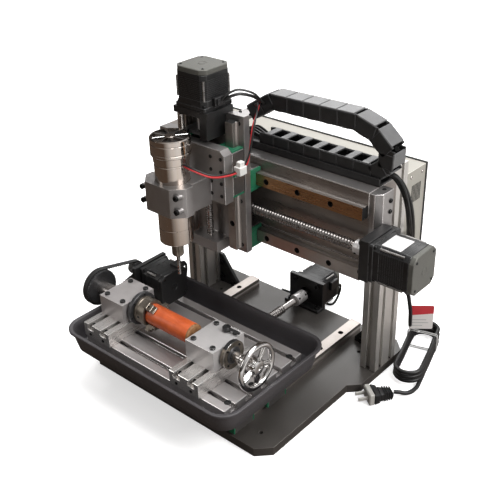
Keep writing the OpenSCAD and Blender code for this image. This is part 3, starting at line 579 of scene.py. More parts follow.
def motor_piece(name, centre, axis, s, w, length, cap, finish_cap, body, nodes, label=None):
    """A stepper motor with its flange, laminated stack between black ends, cap and long screws."""
    m = Piece(name)
    m.prism(cut_square(w, 2), axis, centre, 0, 6.5 * s, "motor", 0.7)
    m.prism(cut_square(w - 1, w * 0.12), axis, centre, 6.4 * s, 16 * s, "motor", 0.5)
    end = (length - 8) * s
    step = (end - 16 * s) / SHEETS
    for k in range(SHEETS):
        a = 16 * s + k * step
        m.prism(cut_square(w - 1.6, w * 0.125), axis, centre, a, a + step * 0.86, "motor", 0.25)
        m.prism(cut_square(w - 1.9, w * 0.11), axis, centre, a + step * 0.8, a + step, "motor", 0)
    q = w / 2 - w * 0.062
    for u, v in ((q, q), (-q, q), (-q, -q), (q, -q)):
        m.ring(at(centre, axis, u, v, 0), axis, 0, 1.9, 16 * s, end, "stack", 12)
    m.prism(cut_square(w - 1, w * 0.12), axis, centre, end, length * s, "motor", 0.5)
    m.prism(cut_square(w - 0.6, w * 0.14), axis, centre, length * s, (length + cap) * s, finish_cap, 0.9)
    for u in (-1, 1):
        for v in (-1, 1):
            m.bolt(at(centre, axis, u * w * 0.36, v * w * 0.36, (length + cap) * s), axis, 2.1, 0.91 * s)
            m.bolt(at(centre, axis, u * w * 0.413, v * w * 0.413, 6.5 * s), axis, 3.6, 3.4 * s)
    t = (length + cap) * s
    m.lathe(centre, axis, [(0, t - 1.6 * s), (2.6, t - 1.6 * s), (2.6, t + 0.05 * s), (5.6, t + 0.05 * s),
                           (6.2, t + 0.5 * s),
                           (6.6, t + 0.05 * s), (6.6, t - 2 * s), (0, t - 2 * s)], finish_cap, 32)
    # a near-black disc down in the cap boss's bore: painted shade
    m.ring(centre, axis, 0, 2.5, t - 1.2 * s, t - 1.4 * s, "hole", 24)
    if label:
        m.box(*label, "label", 0.1)
    return m.done(body, *nodes, slot="motor_black")


def connector(name, body, boxes, cables):
    """A motor's plug: boxes of (low, high, finish, bevel) and the cables, as (points, radius), that leave it."""
    plug_part = Piece(name)
    for box in boxes:
        plug_part.box(*box)
    for points, r in cables:
        plug_part.tube(points, r, "wire", 10)
    return plug_part.done(body, slot="motor_black")


mount = Piece("y_motor_bracket").skin("y_motor_mount", "black", 0.8)
mount.bolts((-32, 30), (165,), (21,), "z", 4, 3.4).bolts((-25, 25), (174,), (18, 62), "y", 4, -3.4)
mount.done("frame", "y_motor_mount", slot="black_paint")
motor_piece("y_axis_motor", (0, 183, 40), "y", 1, 60, 48, 8, "cap", "frame", ("y_motor", "y_motor_cap"))
connector("y_motor_connector", "frame", [((28.5, 205, 42), (36, 226, 60), "black", 0.8)], [
    ([(33, 224, 45), (35, 231, 44), (34, 236, 38), (33, 236, 26), (32, 228, 12), (30, 218, 4.5), (20, 214, 2.6),
      (4, 218, 2.6), (-14, 214, 2.6), (-40, 205, 2.6), (-80, 200, 2.6)], 2.3)])

for name in ("column_left", "column_right"):
    Piece(name + "_bar").skin(name, "column", 0.5).done("frame", name, slot="clear_aluminium")

brackets = Piece("gusset_plates").skin("gussets", "black", 0.6)
for s in (-1, 1):
    for u, v in ((8, 14), (8, 44), (34, 7)):
        brackets.bolt((s * (185 - u), 135, 15 + v), "y", 4.6, -4)
brackets.done("frame", "gussets", slot="black_paint")

beam = Piece("beam").skin("x_beam", "beam", 0.8)
beam.box((-188, 9.5, 378), (232, 31, 378.6), "plate", 0.3)
beam.done("frame", "x_beam", slot="beam_aluminium")
block = Piece("beam_end_block").skin("x_end_block", "plate", 0.8)
block.bolt((241, 33, 378), "z", 3.2, 0.6).bolts((250,), (36,), (362, 345), "x", 3.4, 2.2)
block.done("frame", "x_end_block", slot="beam_aluminium")

bearing = Piece("x_screw_bearing").skin("x_bearing", "black", 0.6)
bearing.bolts((-160,), (-12,), (283, 317), "x", 3, 2.4)
bearing.done("frame", "x_bearing", slot="black_paint")
mount = Piece("x_motor_bracket").skin("x_motor_mount", "black", 0.7)
mount.bolts((250,), (-31, 13), (277, 323), "x", 4.2, -4).bolts((266,), (36,), (290, 310), "x", 3.6, 3)
mount.done("frame", "x_motor_mount", slot="black_paint")
motor_piece("x_axis_motor", (266, -9, 300), "x", 1, 60, 62, 8, "cap", "frame", ("x_motor", "x_motor_cap"),
            label=((280, -30, 329.4), (310, 6, 329.9)))
connector("x_motor_connector", "frame", [((300, -18, 262.5), (322, 0, 270.5), "black", 0.8)], [
    ([(311, -9, 263), (310, -4, 252), (300, 10, 244), (280, 34, 244), (256, 70, 256), (240, 110, 262),
      (224, 150, 262), (214, 165, 262)], 2.3)])

Piece("chain_tray").skin("chain_channel", "black", 0.4).done("frame", "chain_channel", slot="black_paint")

# ---------------------------------------------------------------- drag chain

CHAIN = [(-10, 434), (30, 460), (182, 463), (214, 453), (238, 432), (237, 409), (218, 394), (10, 394)]
SPLITS = (2, 5, 1, 1, 1, 1, 7)
CHAIN_Y, CHAIN_W, CHAIN_H = 37, 32, 13


def chain_joints():
    """The link ends along the chain's middle line, as (x, z) points."""
    nodes = [Vector((CHAIN[0][0], CHAIN[0][1]))]
    for (a, b), n in zip(zip(CHAIN, CHAIN[1:]), SPLITS):
        for k in range(1, n + 1):
            nodes.append(Vector(a).lerp(Vector(b), k / n))
    return nodes


def chain_block(piece, p, t, n, u0, u1, y0, y1, h0, h1, finish, bevel=0.4, taper=0):
    """A block of a link: u along the link from p, y across the chain, h up from its middle line."""
    def corner(y, u, h):
        q = p + t * u + n * h
        return q.x, CHAIN_Y + y, q.y

    outline = ((u0, h0), (u1, h0), (u1 - taper, h1), (u0 + taper, h1))
    piece.loft([[corner(y, u, h) for u, h in outline] for y in (y0, y1)], finish, bevel)


chain = Piece("cable_chain")
joints = chain_joints()
for i, (a, b) in enumerate(zip(joints, joints[1:])):
    t = (b - a).normalized()
    n = Vector((-t.y, t.x))
    size = (b - a).length
    for y0, y1 in ((0, 4.2), (CHAIN_W - 4.2, CHAIN_W)):
        chain_block(chain, a, t, n, -2.5, size - 3, y0 + 0.9, y1 - 0.9, -CHAIN_H + 0.4, CHAIN_H - 0.6, "chain", 0.5)
        chain_block(chain, a, t, n, 4, size + 2.5, y0, y1, -CHAIN_H + 1.2, CHAIN_H - 1.4, "chain", 0.7)
        edge = y0 if y0 else y1
        chain.lathe((a.x + t.x * 4, CHAIN_Y + edge, a.y + t.y * 4), "y",
                    [(0, 0.3), (3.2, 0.3), (3.8, 0), (3.8, -0.3), (0, -0.3)], "chain_top", 20)
    chain_block(chain, a, t, n, 0.8, size - 0.8, 0.4, CHAIN_W - 0.4, CHAIN_H - 2.6, CHAIN_H, "chain_top", 0.6)
    chain_block(chain, a, t, n, size * 0.5 - 6, size * 0.5 + 6, 0.6, CHAIN_W - 0.6, -CHAIN_H, -CHAIN_H + 2.6,
                "chain_top", 0.6)
low_run = [(20, 55, 392), (60, 50, 390), (100, 56, 391), (150, 50, 390), (200, 55, 393), (221, 53, 398)]
for y in (-7, 0, 6):
    chain.tube([(x, py + y, z) for x, py, z in low_run], 2.4, "wire", 8)
chain = chain.done(None, "drag_chain", slot="chain_plastic")
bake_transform(chain)

cables = Piece("chain_cable_bundle")
BUNDLE = [(222, 53, 392), (236, 54, 392), (248, 57, 386), (255, 63, 370), (257, 72, 350), (255, 84, 325),
          (250, 98, 298),
          (243, 113, 274), (235, 128, 256), (226, 144, 246), (213, 158, 242)]
for k, (dx, dy, dz, r) in enumerate(((-3.2, -2, 0, 2.6), (2.6, -3, 1, 2.3), (3, 2.6, -1, 2.6), (-2.6, 3, 2, 2.1))):
    cables.tube([(x + dx * (1 + 0.25 * math.sin(i * 0.9 + k)), y + dy * (1 + 0.25 * math.cos(i * 1.1 + k)), z + dz)
                 for i, (x, y, z) in enumerate(BUNDLE)], r, "wire", 10)
cables.done("frame", "chain_cables", slot="cord_jacket")
loops = Piece("chain_start_cables")
for k, y in enumerate((44, 50, 56, 62)):
    loops.tube([(24, y, 393), (6, y, 396), (-16, y + 2, 399 + k), (-34, y - 2, 396), (-46, y + 1, 390),
                (-60, y, 386.5),
                (-90, y + 1, 383.6), (-120, y, 383.6)], 2.2, "wire", 8)
loops.done("frame", slot="cord_jacket")

# ---------------------------------------------------------------- controller

case = Piece("controller_case").skin("controller_box", "case", 1.2)
for x, h in ((215, 1.2), (-215, -1.2)):
    case.bolts((x,), (152, 184), (210, 346), "x", 2.8, h, "screw")
# near-black slivers on both sides for the vent slits: painted shade, the slits are not cut
for k in range(7):
    case.box((214.6, 156 + k * 4, 300), (215.4, 158 + k * 4, 330), "hole", 0.1)
    case.box((-215.4, 156 + k * 4, 230), (-214.6, 158 + k * 4, 330), "hole", 0.1)
case.done("frame", "controller_box", slot="case_paint")

rear = Piece("controller_rear").skin("controller_panel", "panel", 0.6)
rear.bolts((-208, -70, 70, 208), (198,), (204, 352), "y", 3, 1.4, "screw")
rear.lathe((-140, 198, 280), "y", [(34, 0), (38, 0), (38, 2.2), (37, 3), (35, 3), (34, 2.2)], "black", 48)
for r in (10, 18, 26):
    rear.ring((-140, 198, 280), "y", r - 0.8, r + 0.8, 1, 2.4, "screw", 48)
for k in range(4):
    a = PI / 4 + k * PI / 2
    rear.tube([(-140, 200, 280), (-140 + 36 * math.cos(a), 200, 280 + 36 * math.sin(a))], 0.9, "screw", 8,
              smooth=False)
    rear.bolt((-140 + 40 * math.cos(a), 198, 280 + 40 * math.sin(a)), "y", 2.4, 1.8, "screw")
rear.box((118, 197.5, 222), (168, 200.4, 250), "plug", 0.8)
# a near-black inlay on the socket face for its opening: painted shade
rear.box((124, 200, 227), (146, 200.9, 245), "hole", 0.3)
rear.box((152, 200, 229), (163, 202.2, 243), "red", 0.8)
for k in range(5):
    rear.lathe((100 - k * 20, 198, 222), "y", [(0, 0), (7, 0), (7, 3.6), (6.2, 4.4), (4.2, 4.4), (4.2, 1.4),
                                               (0, 1.4)], "screw", 24)
rear.done("frame", "controller_panel", slot="panel_paint")

# ---------------------------------------------------------------- table

def linear_block(piece, place, mid, start, end, inner, outer, inset, cheek, bridge, bevel, seal_bevel):
    """A runner on a rail: two cheeks joined by a bridge, with a seal SEAL long at each end of all three.

    place puts (across, along, deep) in order. cheek and bridge hold the steel's two depths and the seal's two.
    """
    parts = [(mid - outer, mid - inner, cheek, inset, bevel, seal_bevel),
             (mid + inner, mid + outer, cheek, inset, bevel, seal_bevel),
             (mid - inner - 0.1, mid + inner + 0.1, bridge, 0, 0.3, 0.3)]
    for a, b, (low, high, seal_low, seal_high), cut, edge, seal_edge in parts:
        piece.box(place(a, start + SEAL, low), place(b, end - SEAL, high), "runner", edge)
        for w in (start, end - SEAL):
            piece.box(place(a + cut, w, seal_low), place(b - cut, w + SEAL, seal_high), "seal", seal_edge)


SEAL = 3
runners = Piece("y_linear_blocks")
for x in (-119, 119):
    for y in (-163, -85):
        linear_block(runners, lambda a, w, d: (a, w, d), x, y - 23, y + 23, 10.6, 22, 0.5, (22.2, 53, 22.6, 52.4),
                     (33.6, 53, 33.8, 52.4), 0.8, 0.5)
runners.done("y_table", "y_runners", slot="runner_steel")
Piece("saddle_plate").skin("saddle", "plate", 0.8).done("y_table", "saddle", slot="plate_aluminium")

TRAY_W, TRAY_D, TRAY_Y = 364, 245, -125.5


def rounded(w, d, r, per=9):
    """A rectangle with round corners, as points that go once round."""
    points = []
    for k, (sx, sy) in enumerate(((1, 1), (-1, 1), (-1, -1), (1, -1))):
        for i in range(per):
            a = PI / 2 * (k + i / (per - 1))
            points.append((sx * (w / 2 - r) + r * math.cos(a), sy * (d / 2 - r) + r * math.sin(a)))
    return points


# how far a ring of the pan is past the rim, its height and its corner radius: up the outside, over the rolled
# rim and down inside to the floor
PAN = [(-30, 70, 24), (-26, 70.4, 26), (-22, 72.5, 28), (-15.5, 90, 28), (-11.5, 102, 29), (-10.4, 105.4, 29),
       (-4, 105.2, 31), (-1, 105.8, 32), (0, 107.4, 33), (-0.6, 109.3, 33), (-2.6, 110, 32), (-8.6, 109.8, 30),
       (-12, 109, 29), (-14.6, 106.6, 28), (-17, 100, 27), (-21.5, 86, 26), (-26, 77, 24), (-29, 74.4, 22),
       (-36, 73.3, 19)]
pan = Piece("drip_tray")
pan.loft([[(x, TRAY_Y + y, z) for x, y in rounded(TRAY_W + grow, TRAY_D + grow, r)] for grow, z, r in PAN], "tray")
pan.bolts((-100, 0, 100), (-228,), (73.3,), "z", 3.5, 0.8, "screw").done("y_table", "tray", slot="tray_plastic")

top = Piece("slotted_table").skin("table", "milled", 0.5)
for x in (-143, 143):
    for y in (-200, -146.5, -111.5, -58):
        # a thin near-black disc round each screw head: painted shade in its counterbore
        top.lathe((x, y, 95), "z", [(0, 0.05), (3.4, 0.05), (5.2, 0.05), (5.6, 0.15), (5.2, 0.25), (3.4, 0.25),
                                    (0, 0.15)],
                  "hole", 24)
        top.bolt((x, y, 94), "z", 3.4, 1.6)
top.done("y_table", "table", slot="plate_aluminium")

bars = Piece("slotted_risers").skin("risers", "riser", 0.6)
for x in (-121.5, 75.5):
    for u in (-15, 15):
        bars.ring((x + u, -213, 109), "z", 0, 6, 0, 4, "screw", 6)
        bars.bolt((x + u, -213, 113), "z", 2.6, 5).bolt((x + u, -222, 102), "y", 2.6, -1.2)
bars.done("y_table", "risers", slot="clear_aluminium")


def block_screws(piece, x0, x1):
    """The four socket screws on a block's top, whose heads stand 3 mm proud."""
    for x in (x0 + 9, x1 - 9):
        for y in (-177, -127):
            piece.lathe((x, y, 155), "z", [(0, 0), (4.4, 0), (4.4, 2.7), (4, 3.15), (2.4, 3.15), (2.2, 3.05),
                                           (0, 3.05)],
                        "black", 24)
            # a near-black hexagon on each head for its socket recess: painted shade
            piece.ring((x, y, 158.06), "z", 0, 2.3, 0, 0.05, "hole", 6)


def block_finish(c, n):
    """Screw heads above the top, and the tail block's turned boss, differ from the block."""
    if c.z > 155.5:
        return "black"
    return "tool" if c.x > 104.3 else None


head = Piece("head_block").skin("headstock", "milled", 0.7, block_finish)
block_screws(head, -149, -94)
for x, s in ((-94, 1), (-149, -1)):
    head.lathe((x, WORK_Y, AXIS_Z), "x", [(12.9, 0), (17, 0), (17, 0.7 * s), (16.4, 1.2 * s), (13.4, 1.2 * s),
                                          (12.9, 0.7 * s)],
               "gear", 40)
head.done("y_table", "headstock", slot="milled_aluminium")
tail = Piece("tail_block").skin("tailstock", "bright", 0.7, block_finish)
block_screws(tail, 47, 104)
for a in range(4):
    q = PI / 4 + a * PI / 2
    tail.bolt((113.5, WORK_Y + 18 * math.cos(q), AXIS_Z + 18 * math.sin(q)), "x", 2, 1.2)
tail.lathe((113.5, WORK_Y, AXIS_Z), "x", [(8.2, 0), (14, 0), (14, 0.5), (13, 1.4), (9, 1.4), (8.2, 0.6)], "gear", 40)
tail.done("y_table", "tailstock", slot="milled_aluminium")

mount = Piece("rotary_motor_plate").skin("a_motor_mount", "black", 0.7)
mount.bolts((-152,), (-95, -49), (115, 161), "x", 3.8, -3.6).bolts((-146,), (-92, -52), (95,), "z", 0.5, 0.2)
mount.done("y_table", "a_motor_mount", slot="black_paint")
motor_piece("rotary_motor", (-144, DRIVE_Y, AXIS_Z), "x", 1, 60, 44, 8, "motor", "y_table", ("a_motor",))
connector("rotary_motor_connector", "y_table", [((-112, -62, 164), (-94, -44, 171), "black", 0.8)], [
    ([(-103, -46, 167), (-103, -38, 166), (-106, -30, 154), (-112, -27, 130), (-118, -27, 108), (-124, -29, 97.5),
      (-140, -31, 97.4)], 2.2)])


def teeth(count, r, depth):
    """The outline of a toothed wheel."""
    points = []
    for k in range(count):
        for share, q in ((0.0, r - depth), (0.22, r), (0.62, r), (0.84, r - depth)):
            a = 2 * PI * (k + share) / count
            points.append((q * math.cos(a), q * math.sin(a)))
    return points


def toothed(piece, y, r, count, depth):
    piece.prism(teeth(count, r, depth), "x", (0, y, 138), -197, -186, "gear", 0.25)
    for a, b in ((-199, -197), (-186, -184)):
        q = r - depth
        piece.lathe((0, y, 138), "x", [(0, a), (q - 0.4, a), (q, a + 0.4), (q, b - 0.4), (q - 0.4, b), (0, b)],
                    "gear", 64)


pulley = Piece("driven_pulley")
toothed(pulley, -152, 30.8, 48, 1.4)
pulley.rod((0, WORK_Y, AXIS_Z), "x", 14, -201.2, -199, "gear")
pulley.lathe((-199, WORK_Y, AXIS_Z), "x", [(18, 0), (26, 0), (26, -0.01), (25.4, -0.7), (18.6, -0.7), (18, -0.01)],
             "gear", 48)
for a in range(4):
    q = a * PI / 2 + 0.4
    pulley.bolt((-199, -152 + 22 * math.cos(q), 138 + 22 * math.sin(q)), "x", 2.4, -2)
pulley.rod((0, WORK_Y, AXIS_Z), "x", 12.5, -185, -90, "screw")
pulley.lathe((0, WORK_Y, AXIS_Z), "x", [(0, -90.5), (27, -90.5), (28, -89.6), (28, -84.2), (27.2, -83.4),
                                        (0, -83.4)], "gear", 64)
for a in range(6):
    q = a * PI / 3 + 0.3
    pulley.bolt((-83.6, -152 + 24.8 * math.cos(q), 138 + 24.8 * math.sin(q)), "x", 1.9, 0.9)
pulley.done("head_spindle", "head_spindle", slot="pulley_black")

belt = Piece("timing_belt")
BIG_R, SMALL_R = 31.2, 12.2
belt_lean = math.asin((BIG_R - SMALL_R) / (DRIVE_Y - WORK_Y))
wrap = [(WORK_Y, BIG_R, PI / 2 - belt_lean + (PI + 2 * belt_lean) * k / 48) for k in range(49)]
wrap += [(DRIVE_Y, SMALL_R, -PI / 2 + belt_lean + (PI - 2 * belt_lean) * k / 24) for k in range(25)]


def belt_loop(extra):
    """The belt's line round both pulleys, moved outwards by extra, as (y, z) points."""
    return [(y + (r + extra) * math.cos(a), AXIS_Z + (r + extra) * math.sin(a)) for y, r, a in wrap]


belt.loft([[(x, y, z) for y, z in belt_loop(e)] for e, x in ((0, -196.4), (1.5, -196.4), (1.5, -186.6), (0, -186.6))],
          "belt", ring_closed=True)
line = belt_loop(-0.35)
closed = line + [line[0]]
walk = 0.0
for (y0, z0), (y1, z1) in zip(closed, closed[1:]):
    size = math.hypot(y1 - y0, z1 - z0)
    while walk < size:
        y, z = y0 + (y1 - y0) * walk / size, z0 + (z1 - z0) * walk / size
        belt.ring((-191.5, y, z), "x", 0, 0.75, -4.8, 4.8, "belt", 6)
        walk += 5
    walk -= size
belt.done("y_table", "a_belt", slot="belt_rubber")

small = Piece("drive_pulley")
toothed(small, -72, 11.9, 18, 1.3)
small.rod((0, DRIVE_Y, AXIS_Z), "x", 3.2, -185, -146, "screw")
small.rod((0, DRIVE_Y, AXIS_Z), "x", 3.1, -200.5, -199, "screw")
small.done("a_pulley", "a_pulley", slot="pulley_steel")

chuck = Piece("chuck_body")
chuck.lathe((-83, WORK_Y, AXIS_Z), "x", [(0, 0), (21.6, 0), (22.5, 0.8), (22.5, 5), (21.4, 6), (21.4, 8), (22.5, 9),
                                         (22.5, 20.6),
                                   (21.2, 22), (17.8, 22), (17.2, 21.4), (0, 21.4)], "tool", 64)
for k in range(3):
    a0 = PI / 2 + k * 2 * PI / 3
    for r0, r1, x0, x1, half in ((17.1, 29, 21, 29, 6), (17.1, 24.6, 29, 35, 6), (17.1, 20.6, 35, 40, 6)):
        corners = [(r * math.sin(a0) + t * math.cos(a0), t * math.sin(a0) - r * math.cos(a0))
                   for r, t in ((r0, -half), (r1, -half), (r1, half), (r0, half))]
        chuck.loft([[(-83 + x, WORK_Y + y, AXIS_Z + z) for y, z in corners] for x in (x0, x1)], "tool", 0.5)
    # near-black discs for the jaw screw holes and the key holes: painted shade
    chuck.ring((-54, WORK_Y + 26.5 * math.sin(a0), AXIS_Z - 26.5 * math.cos(a0)), "x", 0, 1.7, 0, 0.3, "hole", 16)
    b0 = a0 + PI / 3
    chuck.ring((-71, WORK_Y + 21.6 * math.sin(b0), AXIS_Z - 21.6 * math.cos(b0)), "x", 0, 2, -2, 2, "hole", 12)
chuck.done("head_spindle", "chuck", slot="tool_steel")

work = Piece("work_bar")
work.lathe((0, WORK_Y, AXIS_Z), "x", [(0, -60.6), (16.6, -60.6), (17, -60.2), (17, 28.5), (16.85, 29), (0, 29)],
           "orange", 64)
work.lathe((0, WORK_Y, AXIS_Z), "x", [(0, 29), (16.85, 29), (16.9, 31.8), (15.6, 33), (13, 33.4), (8, 33.1),
                                      (3, 32.7), (0, 32.7)],
           "tan", 64)
work.done("head_spindle", "workpiece", slot="orange_work")

quill = Piece("tail_quill_rod")
quill.lathe((0, WORK_Y, AXIS_Z), "x", [(0, 33.8), (1, 33.8), (7.6, 50.6), (8, 51.4), (8, 129), (7.4, 129.6),
                                       (0, 129.6)], "screw", 40)
quill.done("tail_quill", "tail_quill", slot="screw_steel")

wheel = Piece("handwheel_chrome")
rim = [(34.5 + 4.5 * math.cos(a), 4.5 * math.sin(a)) for a in [2 * PI * k / 20 for k in range(20)]]
wheel.lathe((158, WORK_Y, AXIS_Z), "x", rim, "wheel", 96)
wheel.lathe((158, WORK_Y, AXIS_Z), "x", [(0, -28), (6.2, -28), (7, -27.2), (7, -14), (6.4, -13.2), (6.4, -12),
                                         (8, -10.5), (11.4, -8.5),
                                   (12, -6), (12, 3.4), (10.6, 5.4), (8.4, 6), (5.4, 6), (5, 4.4), (0, 4.4)],
            "wheel", 48)
for k in range(5):
    a0 = 2 * PI * k / 5
    for sgn in (-1, 1):
        points = []
        for i in range(9):
            r = 9 + 24 * i / 8
            q = a0 + sgn * (0.34 - 0.22 * i / 8)
            points.append((158 - 1.2 + 0.8 * math.sin(i / 8 * PI), -152 + r * math.sin(q), 138 - r * math.cos(q)))
        wheel.tube(points, 1.5, "wheel", 10, flat=1.0)
    points = [(158 - 1, -152 + r * math.sin(a0), 138 - r * math.cos(a0)) for r in (9, 15, 21, 27, 33)]
    wheel.tube(points, 2.6, "wheel", 12, flat=0.8)
wheel.done("handwheel", "handwheel", slot="wheel_chrome")

lever = Piece("tail_lock_lever")
lever.rod((80, -130, 0), "z", 3, 148, 157, "screw")
lever.lathe((80, -130, 155.4), "z", [(0, 0), (6, 0), (6.5, 0.6), (6.5, 6.6), (5.6, 7.8), (3, 8), (2.6, 7.2),
                                     (0, 7.2)], "black", 32)
lever.tube([(83, -130, 161), (90, -130, 161.2), (98, -130, 161.4), (104, -130, 161.2)], 2.4, "black", 14, smooth=True)
lever.lathe((0, -130, 161.2), "x", [(0, 103.4), (2.2, 103.6), (2.5, 104.4), (2.2, 105.6), (0, 106)], "black", 20)
lever.done("lock_lever", "lock_lever", slot="black_paint")

# ---------------------------------------------------------------- screws with their couplings


def coupling(piece, centre, axis, start, end, r=11):
    """A clamp coupling: two bands, spiral cuts between them and their clamp screws."""
    long = end - start
    piece.lathe(centre, axis, [(0, start), (r - 0.6, start), (r, start + 0.6), (r, start + long * 0.32),
                               (r - 0.5, start + long * 0.34),
                               (r - 0.5, start + long * 0.37), (r, start + long * 0.39), (r, start + long * 0.46),
                               (r - 0.7, start + long * 0.48), (r - 0.7, start + long * 0.52),
                               (r, start + long * 0.54),
                               (r, start + long * 0.61), (r - 0.5, start + long * 0.63),
                               (r - 0.5, start + long * 0.66),
                               (r, start + long * 0.68), (r, end - 0.6), (r - 0.6, end), (0, end)], "bright", 48)
    for w in (start + long * 0.16, end - long * 0.16):
        for a in (0.6, 0.6 + PI):
            piece.ring(at(centre, axis, (r - 0.7) * math.cos(a), (r - 0.7) * math.sin(a), w), axis, 0, 1.9, -1.7,
                       1.7, "socket", 16)


for axis, centre, r, thread, plain, grip, form in (
        ("y", (0, 0, 40), 8, (-150, 102), ((6, -177, -150), (6, 101, 140), (4, 160, 182)), (138, 164), ()),
        ("x", (0, -9, 300), 8, (-159, 220), ((6, -178, -158), (6, 219, 227), (4, 250, 265)), (226, 251), ()),
        ("z", (-26, -47, 0), 6, (253, 421), ((4, 236, 254), (4, 420, 436), (3, 452, 466)), (430, 454), (4.0, 0.7))):
    screw = Piece(axis + "_ball_screw")
    screw.thread(centre, axis, r, *thread, "thread", *form)
    for rod_r, start, end in plain:
        screw.rod(centre, axis, rod_r, start, end, "screw")
    coupling(screw, centre, axis, *grip)
    screw.done(axis + "_screw", axis + "_screw", slot="screw_steel")

# ---------------------------------------------------------------- X carriage

blocks = Piece("x_linear_blocks")
for z in (251, 349):
    for x0, x1 in ((-88, -30), (-22, 36)):
        linear_block(blocks, lambda a, w, d: (w, d, a), z, x0, x1, 10.6, 18, 0.4, (-21, 6.8, -20.6, 6.4),
                     (-21, -4.6, -20.6, -4.8), 0.6, 0.4)
blocks.done("x_carriage", "x_runners", slot="runner_steel")

slide = Piece("x_slide_plate").skin("x_plate", "plate", 0.8)
slide.bolts((-81, 29), (-33,), (244, 320, 446), "y", 3.4, -0.8).bolts((-35, -14), (42, 62), (428,), "z", 2.6, 2)
slide.done("x_carriage", "x_plate", slot="plate_aluminium")
Piece("z_rail_pair").skin("z_rails", "rail", 0.4, rail_holes(0, (-74, 22), 1, -33.2, -46.4)).done(
    "x_carriage", "z_rails", slot="rail_steel")

mount = Piece("z_motor_bracket").skin("z_motor_mount", "black", 0.7)
mount.ring((-53, -70, 0), "z", 5, 5.15, 425.2, 457.8, "screw", 24)
mount.bolts((-50, -2), (-71, -27), (458,), "z", 3.6, -3.4)
mount.box((-48, -61.6, 423.4), (-4, -60.4, 428.6), "gear", 0.2)
mount.done("x_carriage", "z_motor_mount", slot="black_paint")
motor_piece("z_axis_motor", (-26, -47, 468), "z", 1, 60, 54, 8, "cap", "x_carriage", ("z_motor", "z_motor_cap"))
connector("z_motor_connector", "x_carriage",
          [((3.4, -60, 474), (9.5, -38, 487), "black", 0.8), ((9.2, -57, 476), (12, -41, 485), "plug", 0.4)],
          [([(10, -45, 481), (18, -42, 486), (28, -30, 490), (34, -12, 484), (32, 6, 474), (22, 24, 464),
             (8, 38, 452),
             (-2, 50, 442)], 2.4),
           ([(10, -50, 480), (16, -46, 489), (26, -30, 496), (38, -10, 488), (36, 10, 470), (20, 34, 456),
             (-2, 54, 444)], 1.8)])

# ---------------------------------------------------------------- Z carriage and spindle

blocks = Piece("z_linear_blocks")
for x in (-74, 22):
    for z0, z1 in ((338, 374), (377, 413)):
        linear_block(blocks, lambda a, w, d: (a, d, w), x, z0, z1, 8, 17, 0.3, (-60, -35, -59.6, -35.4),
                     (-60, -47.6, -59.6, -47.8), 0.6, 0.4)
blocks.done("z_carriage", "z_runners", slot="runner_steel")

carrier = Piece("z_slide_plate").skin("z_plate", "plate", 0.8)
carrier.bolts((-84, -64, 12, 32), (-78,), (346, 366, 385, 405), "y", 3, -1)
carrier.done("z_carriage", "z_plate", slot="plate_aluminium")

clamp = Piece("spindle_clamp").skin("clamp_front", "plate", 0.8)
clamp.bolts((-61, 9), (-148,), (340, 362), "y", 4.25, -4)
clamp.done("z_carriage", "clamp_front", slot="plate_aluminium")

body = Piece("spindle_shell")
body.lathe((SPINDLE_X, SPINDLE_Y, 0), "z", [(7.05, 269), (16, 269), (17, 270), (17, 272.6), (22, 273), (25.2, 273),
                                            (26, 274), (26, 297),
                                 (25.6, 297.4), (25.6, 298.4), (26, 298.8), (26, 399.6), (25.4, 400.2), (25.4, 402),
                                            (26, 402.6),
                                 (26, 404.6), (25, 405), (0, 405), (0, 293), (7.05, 293)], "chrome", 96)
body.done("z_carriage", "spindle_body", slot="spindle_chrome")

fan = Piece("spindle_fan_cap")
fan.lathe((SPINDLE_X, SPINDLE_Y, 405), "z", [(0, 0), (27, 0), (27, 9), (29.2, 9.4), (30, 10.4), (30, 14),
                                             (29.5, 14.4), (29.5, 15.4), (30, 15.8),
                                  (30, 27.5), (29.5, 28), (29.5, 29), (30, 29.5), (30, 35.4), (28.8, 37), (26.4, 37),
                                             (26.4, 31.5),
                                  (8.2, 31.5), (8.2, 36.4), (7.6, 37), (0, 37)], "chrome", 96)
for k in range(8):
    a = k * PI / 4 + 0.2
    c, s = math.cos(a), math.sin(a)
    fan.loft([[(SPINDLE_X + r * c - t * s, SPINDLE_Y + r * s + t * c, z)
               for r, t in ((7.6, -1.5), (27, -2.6), (27, 2.6), (7.6, 1.5))] for z in (436.2, 441.8)], "chrome", 0.5)
# a near-black ring on the floor under the vanes: painted shade in the vent
fan.ring((SPINDLE_X, SPINDLE_Y, 436.6), "z", 8.4, 26.2, 0, 0.3, "hole", 64)
fan.done("z_carriage", "fan_cap", slot="spindle_chrome")

WIRE = [(-2, -119, 401), (10, -116, 397), (30, -98, 385), (44, -80, 384), (54, -64, 388), (58, -52, 396),
        (58, -44, 410),
        (56, -36, 430), (52, -26, 448), (44, -10, 458), (30, 10, 462), (16, 24, 456), (4, 34, 450)]
wires = Piece("spindle_wire_pair")
for k, finish in enumerate(("red", "wire")):
    wires.tube([(x + (1.3 if k else -1.1) * math.cos(i * 0.9), y + (1 if k else -1) * math.sin(i * 0.9),
                 z + (1.2 if k else -0.8))
                for i, (x, y, z) in enumerate(WIRE)], 1.5, finish, 8)
wires.box((48, -68, 382), (61, -53, 395), "white", 0.8)
wires.box((50.5, -65, 395), (58.5, -55, 402), "white", 0.6)
wires.tube([(-2, -119, 401), (-6, -119, 402)], 2, "black", 10)
wires = wires.done(None, "spindle_wires", slot="wire_jacket")
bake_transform(wires)

